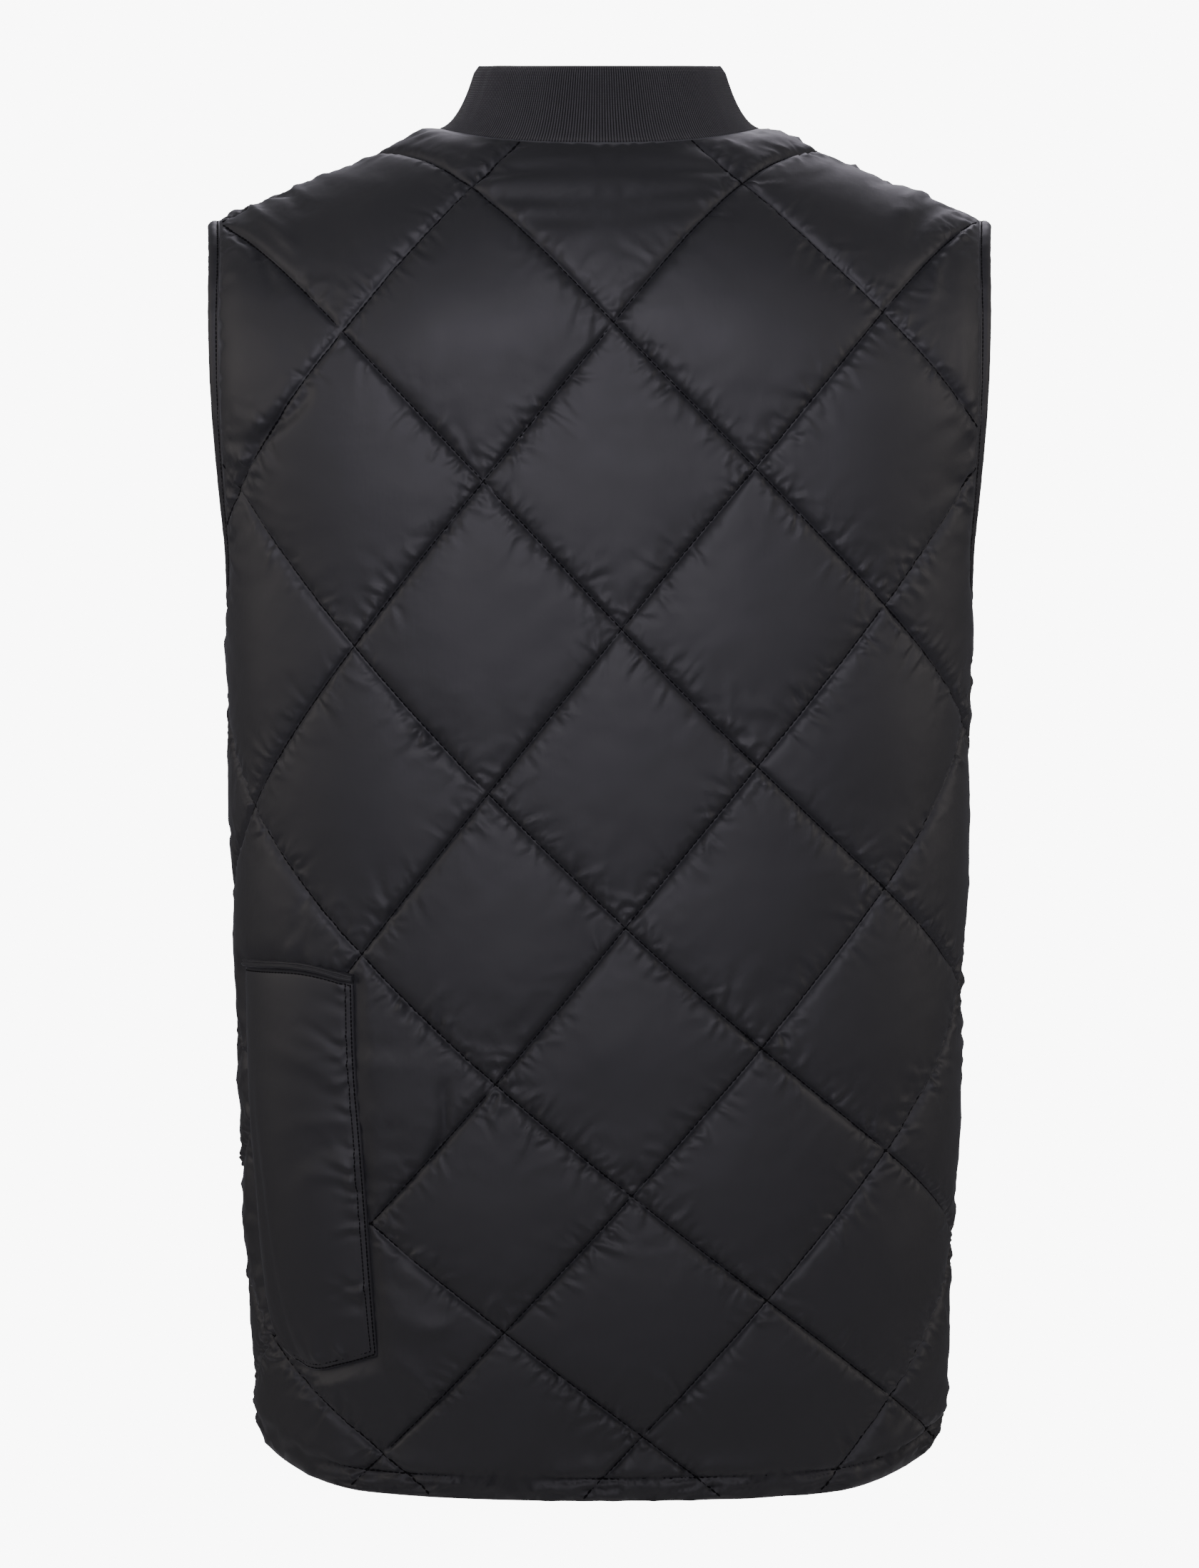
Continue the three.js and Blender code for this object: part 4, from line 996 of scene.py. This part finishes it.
def collar_profile(angle):
    """Foot, bend and top of the collar's inner face at each angle round the neck."""
    step = 0.01
    at, out = neck_seam(angle)
    along = neck_seam(angle + step)[0] - neck_seam(angle - step)[0]
    along /= np.linalg.norm(along, axis=1, keepdims=True)
    inward = np.cross(along, out)
    inward /= np.linalg.norm(inward, axis=1, keepdims=True)
    inward *= -np.sign((inward[:, :2] * at[:, :2]).sum(axis=1))[:, None]
    foot = at + inward * SEAM_GAP
    deep = np.cos(angle)
    near = np.abs(angle) / neck_angle(COLLAR["end_half_gap"]) - 1 + COLLAR["end_round"]
    near = np.clip(near / COLLAR["end_round"], 0, None)
    rise = COLLAR["front_rise"] * (1 - COLLAR["end_drop"] * near**3)
    top = np.stack([
        COLLAR["top_half_width"] * np.sin(angle),
        deep * np.where(deep > 0, COLLAR["top_back"], COLLAR["top_front"]),
        np.where(deep > 0, COLLAR["level"], foot[:, 2] + rise),
    ], axis=1)
    return foot, foot + inward * COLLAR["flare"], top


def make_collar(name, ribs, rows):
    """The rib-knit stand collar: fine upright ribs outside and inside, and a soft folded top."""
    per_rib = len(COLLAR["rib"])
    end = neck_angle(COLLAR["end_half_gap"])
    count = ribs * per_rib
    angle = np.linspace(-end, end, count + 1)
    coarse = np.linspace(-end - 0.012, end + 0.012, 320)
    profile = [np.stack([np.interp(angle, coarse, c[:, k]) for k in range(3)], axis=1)
               for c in collar_profile(coarse)]
    share = np.linspace(0, 1, rows)[None, :, None]
    foot, bend, top = (c[:, None, :] for c in profile)
    surface = foot * (1 - share) ** 2 + 2 * bend * share * (1 - share) + top * share**2
    around = np.gradient(surface, axis=0)
    rising = np.gradient(surface, axis=1)
    normal = np.cross(around, rising)
    normal /= np.linalg.norm(normal, axis=2, keepdims=True)
    if (normal[count // 2, rows // 2] @ (0, 1, 0)) < 0:
        normal = -normal
    rib = np.array(COLLAR["rib"])[np.arange(count + 1) % per_rib][:, None]
    up = np.linspace(0, 1, rows)[None, :]
    past_fold = ((up - COLLAR["fold_from"]) / (1 - COLLAR["fold_from"])).clip(0)
    thick = COLLAR["fold_thin"] + (1 - COLLAR["fold_thin"]) * np.sqrt(np.clip(1 - past_fold**2, 0, 1))
    sway = COLLAR["sway"] * smooth_noise(301, 97, np.linspace(0, 60, count + 1))[:, None] * up
    middle = COLLAR["wall"] / 2
    outside = middle + (middle + rib * COLLAR["rib_height"]) * thick + sway
    within = middle - (middle + COLLAR["inside"] - COLLAR["rib_inside"] * rib) * thick + sway
    outer, inner = (surface + normal * lift[..., None] for lift in (outside, within))
    loops = np.concatenate([outer, inner[:, ::-1]], axis=1)
    corners = loops.shape[1]
    faces = tube_faces(count + 1, corners, False)
    run = np.repeat(np.linspace(0, ribs, count + 1), corners)
    top = COLLAR["cloth_height"]
    height = np.concatenate([np.linspace(0, top, rows), np.linspace(2 * top, top, rows)])
    cloth = np.stack([run, np.tile(height, count + 1)], axis=1)
    thing = make_mesh(name, loops.reshape(-1, 3), faces, cloth)
    repair_winding(thing)
    return thing


def zip_top():
    across, deep = neck_plan(np.array([neck_angle(ZIP["half_gap"])]))
    return float(BODY["front"].from_plan(across, np.abs(deep))[0, 1])


def make_tape(name):
    """One zip tape, with its thicker edge by the teeth."""
    ends = HEM["front"] + ZIP["tape_foot"], zip_top() - ZIP["tape_end"]
    heights = np.linspace(*ends, ZIP["tape_rows"])
    points = np.array([(arc, height, out) for height in heights for arc, out in TAPE_PROFILE])
    cloth = np.stack([points[:, 0] + points[:, 2], points[:, 1]], axis=1)
    faces = tube_faces(len(heights), len(TAPE_PROFILE), False)
    thing = make_mesh(name, BODY["front"].point(*points.T), faces, cloth)
    repair_winding(thing)
    return thing


# Shader boards.

class Value:
    """A socket whose arithmetic adds Math nodes to its board."""

    def __init__(self, board, socket):
        self.board, self.socket = board, socket

    def _math(self, operation, first, second=None):
        inputs = {0: first} if second is None else {0: first, 1: second}
        return self.board.node("ShaderNodeMath", {"operation": operation}, inputs)["Value"]

    def __add__(self, other):
        return self._math("ADD", self, other)

    def __rsub__(self, other):
        return self._math("SUBTRACT", other, self)

    def __mul__(self, other):
        return self._math("MULTIPLY", self, other)

    def sine(self):
        return self._math("SINE", self)

    def size(self):
        return self._math("ABSOLUTE", self)

    __radd__, __rmul__ = __add__, __mul__


class Made:
    """A node on a board, whose outputs are Values by name."""

    def __init__(self, board, node):
        self.board, self.node = board, node

    def __getitem__(self, name):
        return Value(self.board, self.node.outputs[name])


class Board:
    """A node tree that is filled by one method."""

    def __init__(self, tree):
        self.tree = tree

    def node(self, kind, settings=None, inputs=None):
        made = self.tree.nodes.new(kind)
        for key, value in (settings or {}).items():
            if key == "stops":
                self.fill_ramp(made.color_ramp, value)
            else:
                setattr(made, key, value)
        for key, value in (inputs or {}).items():
            if isinstance(value, Value):
                self.tree.links.new(value.socket, made.inputs[key])
            else:
                made.inputs[key].default_value = value
        return Made(self, made)

    @staticmethod
    def fill_ramp(ramp, stops):
        while len(ramp.elements) < len(stops):
            ramp.elements.new(0.5)
        for element, (position, shade) in zip(ramp.elements, stops):
            element.position = position
            element.color = (shade, shade, shade, 1) if isinstance(shade, float) else (*shade, 1)


def new_material(name):
    material = bpy.data.materials.new(name)
    material.use_nodes = True
    material.node_tree.nodes.clear()
    return material, Board(material.node_tree)


def finish_material(board, inputs):
    principled = board.node("ShaderNodeBsdfPrincipled", None, inputs)
    board.node("ShaderNodeOutputMaterial", None, {"Surface": principled["BSDF"]})


def tinted(board, low, high, share):
    mix = board.node("ShaderNodeMix", {"data_type": "RGBA"}, {"Factor": share})
    mix.node.inputs[6].default_value = (*low, 1)
    mix.node.inputs[7].default_value = (*high, 1)
    return Value(board, mix.node.outputs[2])


def noise(board, where, scale, detail=2.0, rough=0.5):
    inputs = {"Vector": where, "Scale": scale, "Detail": detail, "Roughness": rough}
    return board.node("ShaderNodeTexNoise", None, inputs)["Fac"]


def bumps(board, strength, distance, height, under=None):
    inputs = {"Strength": strength, "Distance": distance, "Height": height}
    if under is not None:
        inputs["Normal"] = under
    return board.node("ShaderNodeBump", None, inputs)["Normal"]


def solid_places(board):
    return board.node("ShaderNodeTexCoord")["Object"]


def cloth_places(board):
    """The cloth's own places, and their two axes apart."""
    cloth = board.node("ShaderNodeUVMap", {"uv_map": "cloth"})["UV"]
    apart = board.node("ShaderNodeSeparateXYZ", None, {"Vector": cloth})
    return cloth, apart["X"], apart["Y"]


def turns(axis, wave):
    """The angle that a wave of this length in metres has reached along an axis."""
    return axis * (2 * math.pi / wave)


def nylon_material(colours):
    """Black nylon with a satin sheen: a very fine weave, faint slubs and small soft crumples."""
    material, board = new_material("quilted nylon")
    cloth, across, down = cloth_places(board)
    weave = turns(across, 0.00042).sine() * turns(down, 0.00046).sine()
    drawn = board.node("ShaderNodeVectorMath", {"operation": "MULTIPLY"}, {0: cloth, 1: (3.2, 0.5, 1)})
    slubs = noise(board, drawn["Vector"], 160, 2, 0.6)
    soft = noise(board, cloth, 48, 3, 0.5)
    broad = noise(board, cloth, 11, 3, 0.55)
    finish_material(board, {
        "Base Color": tinted(board, colours["deep"], colours["light"], 0.6 * broad + 0.4 * slubs),
        "Roughness": 0.54 + 0.08 * soft + 0.05 * slubs,
        "Normal": bumps(board, 0.36, 0.0012, soft + 0.1 * slubs, bumps(board, 0.12, 0.00005, weave)),
        "Specular IOR Level": 0.45, "Sheen Weight": 0.06, "Sheen Roughness": 0.4,
        "Sheen Tint": (0.75, 0.78, 0.85, 1),
    })
    return material


def thread_material(colours):
    """Dull twisted sewing thread, nearly black: its own dark colour, made darker than the cloth as painted
    shade of the stitch grooves.
    """
    material, board = new_material("sewing thread")
    where = solid_places(board)
    finish_material(board, {
        "Base Color": tinted(board, colours["thread"], colours["thread_light"], noise(board, where, 900)),
        "Roughness": 0.92, "Specular IOR Level": 0.12,
        "Normal": bumps(board, 0.4, 0.0002, noise(board, where, 2600)),
    })
    return material


def knit_material(colours):
    """Matte rib knit: small loops down each rib, a little fuzz, and painted shade in the valleys between
    ribs with painted light on their crowns.
    """
    material, board = new_material("rib knit")
    _, across, down = cloth_places(board)
    rib = turns(across, MM)
    loops = (turns(down, 0.0011) + rib.sine().size() * 2.4).sine()
    fuzz = noise(board, solid_places(board), 1500, 3, 0.7)
    # Painted shade and light: the colour is darkest in the valleys between ribs and lightest on their
    # crowns.
    painted_rib_shade = 0.5 - 0.5 * (rib + 0.5 * math.pi).sine()
    finish_material(board, {
        "Base Color": tinted(board, colours["knit"], colours["knit_light"], painted_rib_shade * (0.6 + 0.5 * fuzz)),
        "Roughness": 0.9, "Normal": bumps(board, 0.5, 0.0003, loops * 0.5 + fuzz),
        "Sheen Weight": 0.12, "Sheen Roughness": 0.5, "Specular IOR Level": 0.2,
    })
    return material


def tape_material(colours):
    """Herringbone-woven zip tape."""
    material, board = new_material("zip tape")
    _, across, down = cloth_places(board)
    weave = (turns(down, 0.0007) + turns(across, 0.0016).sine() * 1.6).sine()
    finish_material(board, {
        "Base Color": tinted(board, colours["knit"], colours["knit_light"], weave * 0.5 + 0.5),
        "Roughness": 0.8, "Normal": bumps(board, 0.5, 0.00015, weave), "Sheen Weight": 0.2,
    })
    return material


def teeth_material():
    """Moulded black plastic, slightly scuffed."""
    material, board = new_material("moulded teeth")
    where = solid_places(board)
    finish_material(board, {
        "Base Color": (0.012, 0.012, 0.013, 1), "Roughness": 0.3 + 0.2 * noise(board, where, 700, 3),
        "Normal": bumps(board, 0.2, 0.0001, noise(board, where, 1800)),
    })
    return material


def metal_material():
    """Black lacquered metal, with paler wear where it is handled."""
    material, board = new_material("black metal")
    where = solid_places(board)
    worn = board.node("ShaderNodeValToRGB", {"stops": ((0.52, 0.0), (0.74, 1.0))}, {
        "Fac": noise(board, where, 420, 5, 0.7),
    })["Color"]
    finish_material(board, {
        "Base Color": tinted(board, (0.02, 0.02, 0.022), (0.075, 0.075, 0.08), worn),
        "Metallic": 0.85, "Roughness": 0.3 + 0.25 * noise(board, where, 900, 3),
        "Normal": bumps(board, 0.15, 0.0001, noise(board, where, 1600, 3)),
    })
    return material


def studio_world():
    """A white backdrop round a dim room that is brighter above."""
    world = bpy.data.worlds.new("studio")
    world.use_nodes = True
    world.node_tree.nodes.clear()
    board = Board(world.node_tree)
    way = board.node("ShaderNodeTexCoord")["Generated"]
    rise = board.node("ShaderNodeSeparateXYZ", None, {"Vector": way})["Z"]
    tone = board.node("ShaderNodeValToRGB", {"stops": ROOM_TONES}, {"Fac": rise * 0.5 + 0.5})["Color"]
    room = board.node("ShaderNodeBackground", None, {"Color": tone, "Strength": 1.0})["Background"]
    backdrop = board.node("ShaderNodeBackground", None, {
        "Color": (1, 1, 1, 1), "Strength": 9.0,
    })["Background"]
    seen = board.node("ShaderNodeLightPath")["Is Camera Ray"]
    mixed = board.node("ShaderNodeMixShader", None, {0: seen, 1: room, 2: backdrop})["Shader"]
    board.node("ShaderNodeOutputWorld", None, {"Surface": mixed})
    return world


def stage_material(shade):
    material, board = new_material("pale floor")
    tone = tinted(board, [0.97 * s for s in shade], shade, noise(board, solid_places(board), 3))
    finish_material(board, {"Base Color": tone, "Roughness": 0.7, "Specular IOR Level": 0.2})
    return material


# Geometry Nodes.

def along_lines_tree(name):
    """A tree that sets one small mesh along every line, end to end, and gives it one material."""
    tree = bpy.data.node_groups.new(name, "GeometryNodeTree")
    face = tree.interface
    face.new_socket("Lines", in_out="INPUT", socket_type="NodeSocketGeometry")
    face.new_socket("Piece", in_out="INPUT", socket_type="NodeSocketObject")
    face.new_socket("Spacing", in_out="INPUT", socket_type="NodeSocketFloat")
    face.new_socket("Material", in_out="INPUT", socket_type="NodeSocketMaterial")
    face.new_socket("Pieces", in_out="OUTPUT", socket_type="NodeSocketGeometry")
    board = Board(tree)
    group = board.node("NodeGroupInput")
    points = board.node("GeometryNodeCurveToPoints", {"mode": "LENGTH"}, {
        "Curve": group["Lines"], "Length": group["Spacing"],
    })
    piece = board.node("GeometryNodeObjectInfo", None, {"Object": group["Piece"]})
    copies = board.node("GeometryNodeInstanceOnPoints", None, {
        "Points": points["Points"], "Instance": piece["Geometry"], "Rotation": points["Rotation"],
    })
    real = board.node("GeometryNodeRealizeInstances", None, {"Geometry": copies["Instances"]})
    shaded = board.node("GeometryNodeSetMaterial", None, {
        "Geometry": real["Geometry"], "Material": group["Material"],
    })
    board.node("NodeGroupOutput", None, {"Pieces": shaded["Geometry"]})
    return tree


def run_along(name, lines, piece, material, spacing):
    """A plain mesh of small pieces set along lines of points in millimetres."""
    curve = bpy.data.curves.new(name, "CURVE")
    curve.dimensions = "3D"
    for line in lines:
        strand = curve.splines.new("POLY")
        strand.points.add(len(line) - 1)
        flat = np.concatenate([np.asarray(line) * MM, np.ones((len(line), 1))], axis=1)
        strand.points.foreach_set("co", flat.ravel())
    carrier = new_object(name + " lines", curve)
    tree = along_lines_tree(name)
    modifier = carrier.modifiers.new("pieces", "NODES")
    modifier.node_group = tree
    sockets = {s.name: s.identifier for s in tree.interface.items_tree if s.in_out == "INPUT"}
    modifier[sockets["Piece"]] = piece
    modifier[sockets["Material"]] = material
    modifier[sockets["Spacing"]] = spacing * MM
    bpy.context.view_layer.update()
    ready = carrier.evaluated_get(bpy.context.evaluated_depsgraph_get())
    mesh = bpy.data.meshes.new_from_object(ready)
    mesh.name = name
    made = new_object(name, mesh)
    bpy.data.objects.remove(carrier)
    bpy.data.objects.remove(piece)
    return made


def small_body(name, rings, corners, squash):
    """A small closed grain along Z: rings of (place, radius), flattened across by squash."""
    turn = np.linspace(0, 2 * math.pi, corners, endpoint=False)
    points = [(r * math.cos(t), r * squash * math.sin(t), z) for z, r in rings for t in turn]
    faces = tube_faces(len(rings), corners, False)
    points = np.array(points)
    return make_mesh(name, points, facing_out(points, faces))


def clipped_runs(inside, line):
    """The stretches of a line whose places are inside, of four places or more."""
    cuts = np.flatnonzero(np.diff(inside.astype(int))) + 1
    parts = zip(np.split(inside, cuts), np.split(line, cuts))
    return [part for kept, part in parts if kept[0] and len(part) > 3]


def quilt_stitch_lines(side, seed, puffs):
    """The stitch lines of a quilted panel, laid in the bottom of their grooves."""
    outline = panel_outline(side, 6)
    flat_runs = []
    for line in range(-7, 9):
        for family in (0, 1):
            other = np.linspace(-7, 8, 1500)
            fixed = np.full_like(other, line)
            pair = (fixed, other) if family == 0 else (other, fixed)
            places = quilt_place(side, *pair)
            inside = depth_inside(outline, places) > 3
            if side == "back":
                inside &= depth_inside(patch_outline(), places) < -1
            flat_runs += clipped_runs(inside, places)
    rough = panel_outline(side, 7)
    lines = []
    for run in flat_runs:
        lift = quilted_relief(side, run, rough, seed, puffs)
        lines.append(BODY[side].point(*run.T, lift + 0.1))
    arcs = np.linspace(-0.99, 0.99, 700) if side == "back" else np.linspace(0.045, 0.99, 400)
    arcs = arcs * float(BODY[side].quarter(HEM["side"]))
    hem = np.stack([arcs, hem_height(side, arcs) + HEM_BAND["stitch"]], axis=1)
    lines.append(BODY[side].point(*hem.T, quilted_relief(side, hem, rough, seed, puffs) + 0.15))
    return lines


def flipped(lines):
    return [line * (-1, 1, 1) for line in lines]


# Sizes and colours that a user may change.

class VestSizes(bpy.types.PropertyGroup):
    """Sizes of the vest's finish."""

    stitch_length: bpy.props.FloatProperty(
        name="Stitch length", description="Length of one quilting stitch",
        default=0.0034, unit="LENGTH",
    )
    rib_count: bpy.props.IntProperty(
        name="Ribs", description="Fine ribs round the knit collar", default=330, min=80, max=480,
    )


def colour(name, description, default):
    return bpy.props.FloatVectorProperty(
        name=name, description=description, subtype="COLOR", default=default,
    )


class VestColours(bpy.types.PropertyGroup):
    """Colours of the vest's cloth."""

    deep: colour("Nylon, deep", "Darker shade of the nylon", (0.011, 0.0112, 0.0132))
    light: colour("Nylon, light", "Lighter shade of the nylon", (0.017, 0.0172, 0.0198))
    # The thread is far darker than the nylon: partly its own black and partly painted shade of the grooves
    # that it lies in.
    thread: colour("Thread", "Sewing thread, dark", (0.0015, 0.0015, 0.002))
    thread_light: colour("Thread, light", "Sewing thread, light", (0.005, 0.005, 0.006))
    # In the knit these two colours shade the ribs: the dark one is painted shade in the valleys, the light
    # one painted light on the crowns. In the tape they are the weave's two tones.
    knit: colour("Knit", "Knit and tape, dark", (0.003, 0.003, 0.0035))
    knit_light: colour("Knit, light", "Knit and tape, light", (0.06, 0.06, 0.064))


def palette():
    colours = bpy.context.scene.vest_colours
    return {key: tuple(getattr(colours, key)) for key in VestColours.__annotations__}


def material_named(name):
    """A finish, made the first time that it is asked for."""
    makers = {
        "quilted nylon": lambda: nylon_material(palette()),
        "sewing thread": lambda: thread_material(palette()),
        "rib knit": lambda: knit_material(palette()),
        "zip tape": lambda: tape_material(palette()),
        "moulded teeth": teeth_material,
        "black metal": metal_material,
    }
    return bpy.data.materials.get(name) or makers[name]()


def dress(thing, material, slot, *nodes):
    """Gives a finished piece its material and its body, and hides the solids that it stands for. The slot
    is not used.
    """
    thing.data.materials.clear()
    thing.data.materials.append(material_named(material))
    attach(thing, GARMENT)
    if nodes:
        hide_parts(*nodes)
    return thing


# Topstitches on the patch and the bindings, as a share of the quilting's stitches.
TOPSTITCH = 0.68
STITCH_RINGS = ((-1.6, 0.2), (-1.0, 0.55), (0.0, 0.7), (1.0, 0.55), (1.6, 0.2))


class VEST_OT_panels(bpy.types.Operator):
    """Makes the quilted back and fronts"""

    bl_idname = "vest.panels"
    bl_label = "Quilted panels"

    def execute(self, context):
        puffs = settled_puffs(5)
        back = make_panel("quilted_back", "back", 11, puffs)
        left = make_panel("quilted_left_front", "front", 23, puffs)
        other = make_panel("right front unturned", "front", 37, puffs)
        right = mirrored("quilted_right_front", other)
        bpy.data.objects.remove(other)
        dress(back, "quilted nylon", "nylon", "back_panel")
        dress(left, "quilted nylon", "nylon", "front_left")
        dress(right, "quilted nylon", "nylon", "front_right")
        return {"FINISHED"}


class VEST_OT_stitching(bpy.types.Operator):
    """Sews the quilting, hem, patch and binding stitches"""

    bl_idname = "vest.stitching"
    bl_label = "Stitching"

    def execute(self, context):
        spacing = context.scene.vest_sizes.stitch_length / MM
        thread = material_named("sewing thread")
        flat = np.zeros((1, 2, 2))
        bound = binding_stitch_line()
        sets = {
            "back_stitching": quilt_stitch_lines("back", 11, flat),
            "patch_stitching": patch_stitch_lines(),
            "armhole_stitching": [bound, *flipped([bound])],
            "left_front_stitching": quilt_stitch_lines("front", 23, flat),
            "right_front_stitching": flipped(quilt_stitch_lines("front", 37, flat)),
        }
        for name, lines in sets.items():
            share = 1 if "front" in name or "back" in name else TOPSTITCH
            rings = [(place * share, radius * share) for place, radius in STITCH_RINGS]
            made = run_along(name, lines, small_body("stitch", rings, 5, 0.8), thread, spacing * share)
            dress(made, "sewing thread", "nylon")
        return {"FINISHED"}


class VEST_OT_collar(bpy.types.Operator):
    """Knits the stand collar"""

    bl_idname = "vest.collar"
    bl_label = "Rib collar"

    def execute(self, context):
        collar = make_collar("rib_collar", context.scene.vest_sizes.rib_count, 16)
        dress(collar, "rib knit", "rib_knit", "collar")
        return {"FINISHED"}


class VEST_OT_bindings(bpy.types.Operator):
    """Binds the armholes"""

    bl_idname = "vest.bindings"
    bl_label = "Armhole bindings"

    def execute(self, context):
        left = make_binding("left_armhole_binding")
        right = mirrored("right_armhole_binding", left)
        dress(left, "quilted nylon", "binding", "armhole_binding_left")
        dress(right, "quilted nylon", "binding", "armhole_binding_right")
        return {"FINISHED"}


class VEST_OT_hip_patch(bpy.types.Operator):
    """Sews on the hip patch and its welt"""

    bl_idname = "vest.hip_patch"
    bl_label = "Hip patch"

    def execute(self, context):
        patch = sheet_over_back("smooth_hip_patch", 56, 140, patch_place, patch_relief)
        welt = sheet_over_back("folded_patch_welt", 70, 15, welt_place, welt_relief)
        dress(patch, "quilted nylon", "nylon", "hip_patch")
        dress(welt, "quilted nylon", "binding", "hip_patch_welt")
        return {"FINISHED"}


class VEST_OT_zip(bpy.types.Operator):
    """Makes the zip's tapes and teeth, and finishes its slider and pull"""

    bl_idname = "vest.zip"
    bl_label = "Front zip"

    def execute(self, context):
        left = make_tape("left_zip_tape")
        right = mirrored("right_zip_tape", left)
        dress(left, "zip tape", "zip_tape", "zip_tape_left")
        dress(right, "zip tape", "zip_tape", "zip_tape_right")
        ends = HEM["front"] + ZIP["teeth_foot"], zip_top() - ZIP["teeth_end"]
        heights = np.linspace(*ends, 500)
        rings = ((-1.0, 0.75), (-0.8, 1.0), (0.0, 1.12), (0.8, 1.0), (1.0, 0.75))
        lines = [
            BODY["front"].point(np.full_like(heights, across), heights + lag, ZIP["tooth_lift"])
            for across, lag in ((-ZIP["tooth_aside"], 0), (ZIP["tooth_aside"], ZIP["tooth_lag"]))
        ]
        tooth = small_body("tooth", rings, 6, 0.72)
        teeth = run_along("zip_teeth", lines, tooth, material_named("moulded teeth"), ZIP["tooth_step"])
        dress(teeth, "moulded teeth", "zip_teeth", "zip_chain")
        for node in ("zip_slider", "zip_pull"):
            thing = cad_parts[node]
            thing.data.materials.clear()
            thing.data.materials.append(material_named("black metal"))
        return {"FINISHED"}


class VEST_OT_stage(bpy.types.Operator):
    """Sets the floor, the lights and the camera"""

    bl_idname = "vest.stage"
    bl_label = "Stage"

    def execute(self, context):
        scene = context.scene
        turn = np.linspace(0, 2 * math.pi, 96, endpoint=False)
        rim = np.stack([780 * np.cos(turn), 780 * np.sin(turn), np.full_like(turn, FLOOR_HEIGHT)], axis=1)
        floor = make_mesh("floor", rim, [tuple(range(96))], smooth=False)
        floor.data.materials.append(stage_material((0.86, 0.86, 0.86)))
        scene.world = studio_world()
        for row in LAMPS:
            lamp = bpy.data.lights.new(row["name"], "AREA")
            lamp.size, lamp.energy, lamp.color = row["size"], row["power"], row["tone"]
            lamp.spread = math.radians(row["spread"])
            thing = new_object(row["name"], lamp)
            thing.location = row["place"]
            aim = Vector((0, 0, row["aim"])) - Vector(row["place"])
            thing.rotation_euler = aim.to_track_quat("-Z", "Y").to_euler()
        camera = bpy.data.cameras.new("camera")
        camera.sensor_fit, camera.sensor_width = "HORIZONTAL", 36
        camera.lens = 36 * FOCAL_PIXELS / PHOTO_WIDTH
        camera.clip_end = 50
        view = new_object("camera", camera)
        view.location = (0, CAMERA["distance"], CAMERA["height"])
        view.rotation_euler = (math.radians(90 - CAMERA["pitch"]), 0, math.pi)
        scene.camera = view
        return {"FINISHED"}


FLOOR_HEIGHT = -1050
# The room's tones from straight below to straight above.
ROOM_TONES = ((0.0, 0.02), (0.42, 0.04), (0.56, 0.12), (1.0, 0.2))
COOL, WARM = (1, 0.95, 1.08), (1, 0.92, 0.86)
LAMPS = (
    {"name": "key", "place": (0.25, 2.3, 0.7), "aim": 0.35, "size": 2.0, "spread": 38,
     "power": 10.0, "tone": COOL},
    {"name": "fill", "place": (-1.7, 2.6, 0.35), "aim": -0.2, "size": 1.4, "spread": 120,
     "power": 2.4, "tone": COOL},
    {"name": "rim left", "place": (2.2, 0.35, 0.1), "aim": -0.4, "size": 1, "spread": 120,
     "power": 7, "tone": WARM},
    {"name": "rim right", "place": (-2.2, 0.35, 0.1), "aim": -0.4, "size": 1, "spread": 120,
     "power": 7, "tone": WARM},
    {"name": "front", "place": (-0.3, -2.5, 1.5), "aim": -0.3, "size": 1.8, "spread": 180,
     "power": 42, "tone": COOL},
)
PHOTO_WIDTH = 1680
FOCAL_PIXELS = 6567
CAMERA = {"distance": 2.5, "height": 0.0, "pitch": 7.8}


class VEST_PT_panel(bpy.types.Panel):
    """The vest's sizes, colours and steps"""

    bl_idname = "VEST_PT_panel"
    bl_label = "Quilted Vest"
    bl_space_type = "VIEW_3D"
    bl_region_type = "UI"
    bl_category = "Vest"

    def draw(self, context):
        for group in (context.scene.vest_sizes, context.scene.vest_colours):
            for key in group.__annotations__:
                self.layout.prop(group, key)
        for step in STEPS:
            self.layout.operator(step.bl_idname)


STEPS = (
    VEST_OT_panels, VEST_OT_stitching, VEST_OT_collar, VEST_OT_bindings,
    VEST_OT_hip_patch, VEST_OT_zip, VEST_OT_stage,
)
CLASSES = (VestSizes, VestColours, *STEPS, VEST_PT_panel)


def register():
    for made in CLASSES:
        bpy.utils.register_class(made)
    bpy.types.Scene.vest_sizes = bpy.props.PointerProperty(type=VestSizes)
    bpy.types.Scene.vest_colours = bpy.props.PointerProperty(type=VestColours)


def unregister():
    del bpy.types.Scene.vest_sizes
    del bpy.types.Scene.vest_colours
    for made in reversed(CLASSES):
        bpy.utils.unregister_class(made)


def main():
    register()
    for step in STEPS:
        group, name = step.bl_idname.split(".")
        getattr(getattr(bpy.ops, group), name)()


if __name__ == "__main__":
    main()
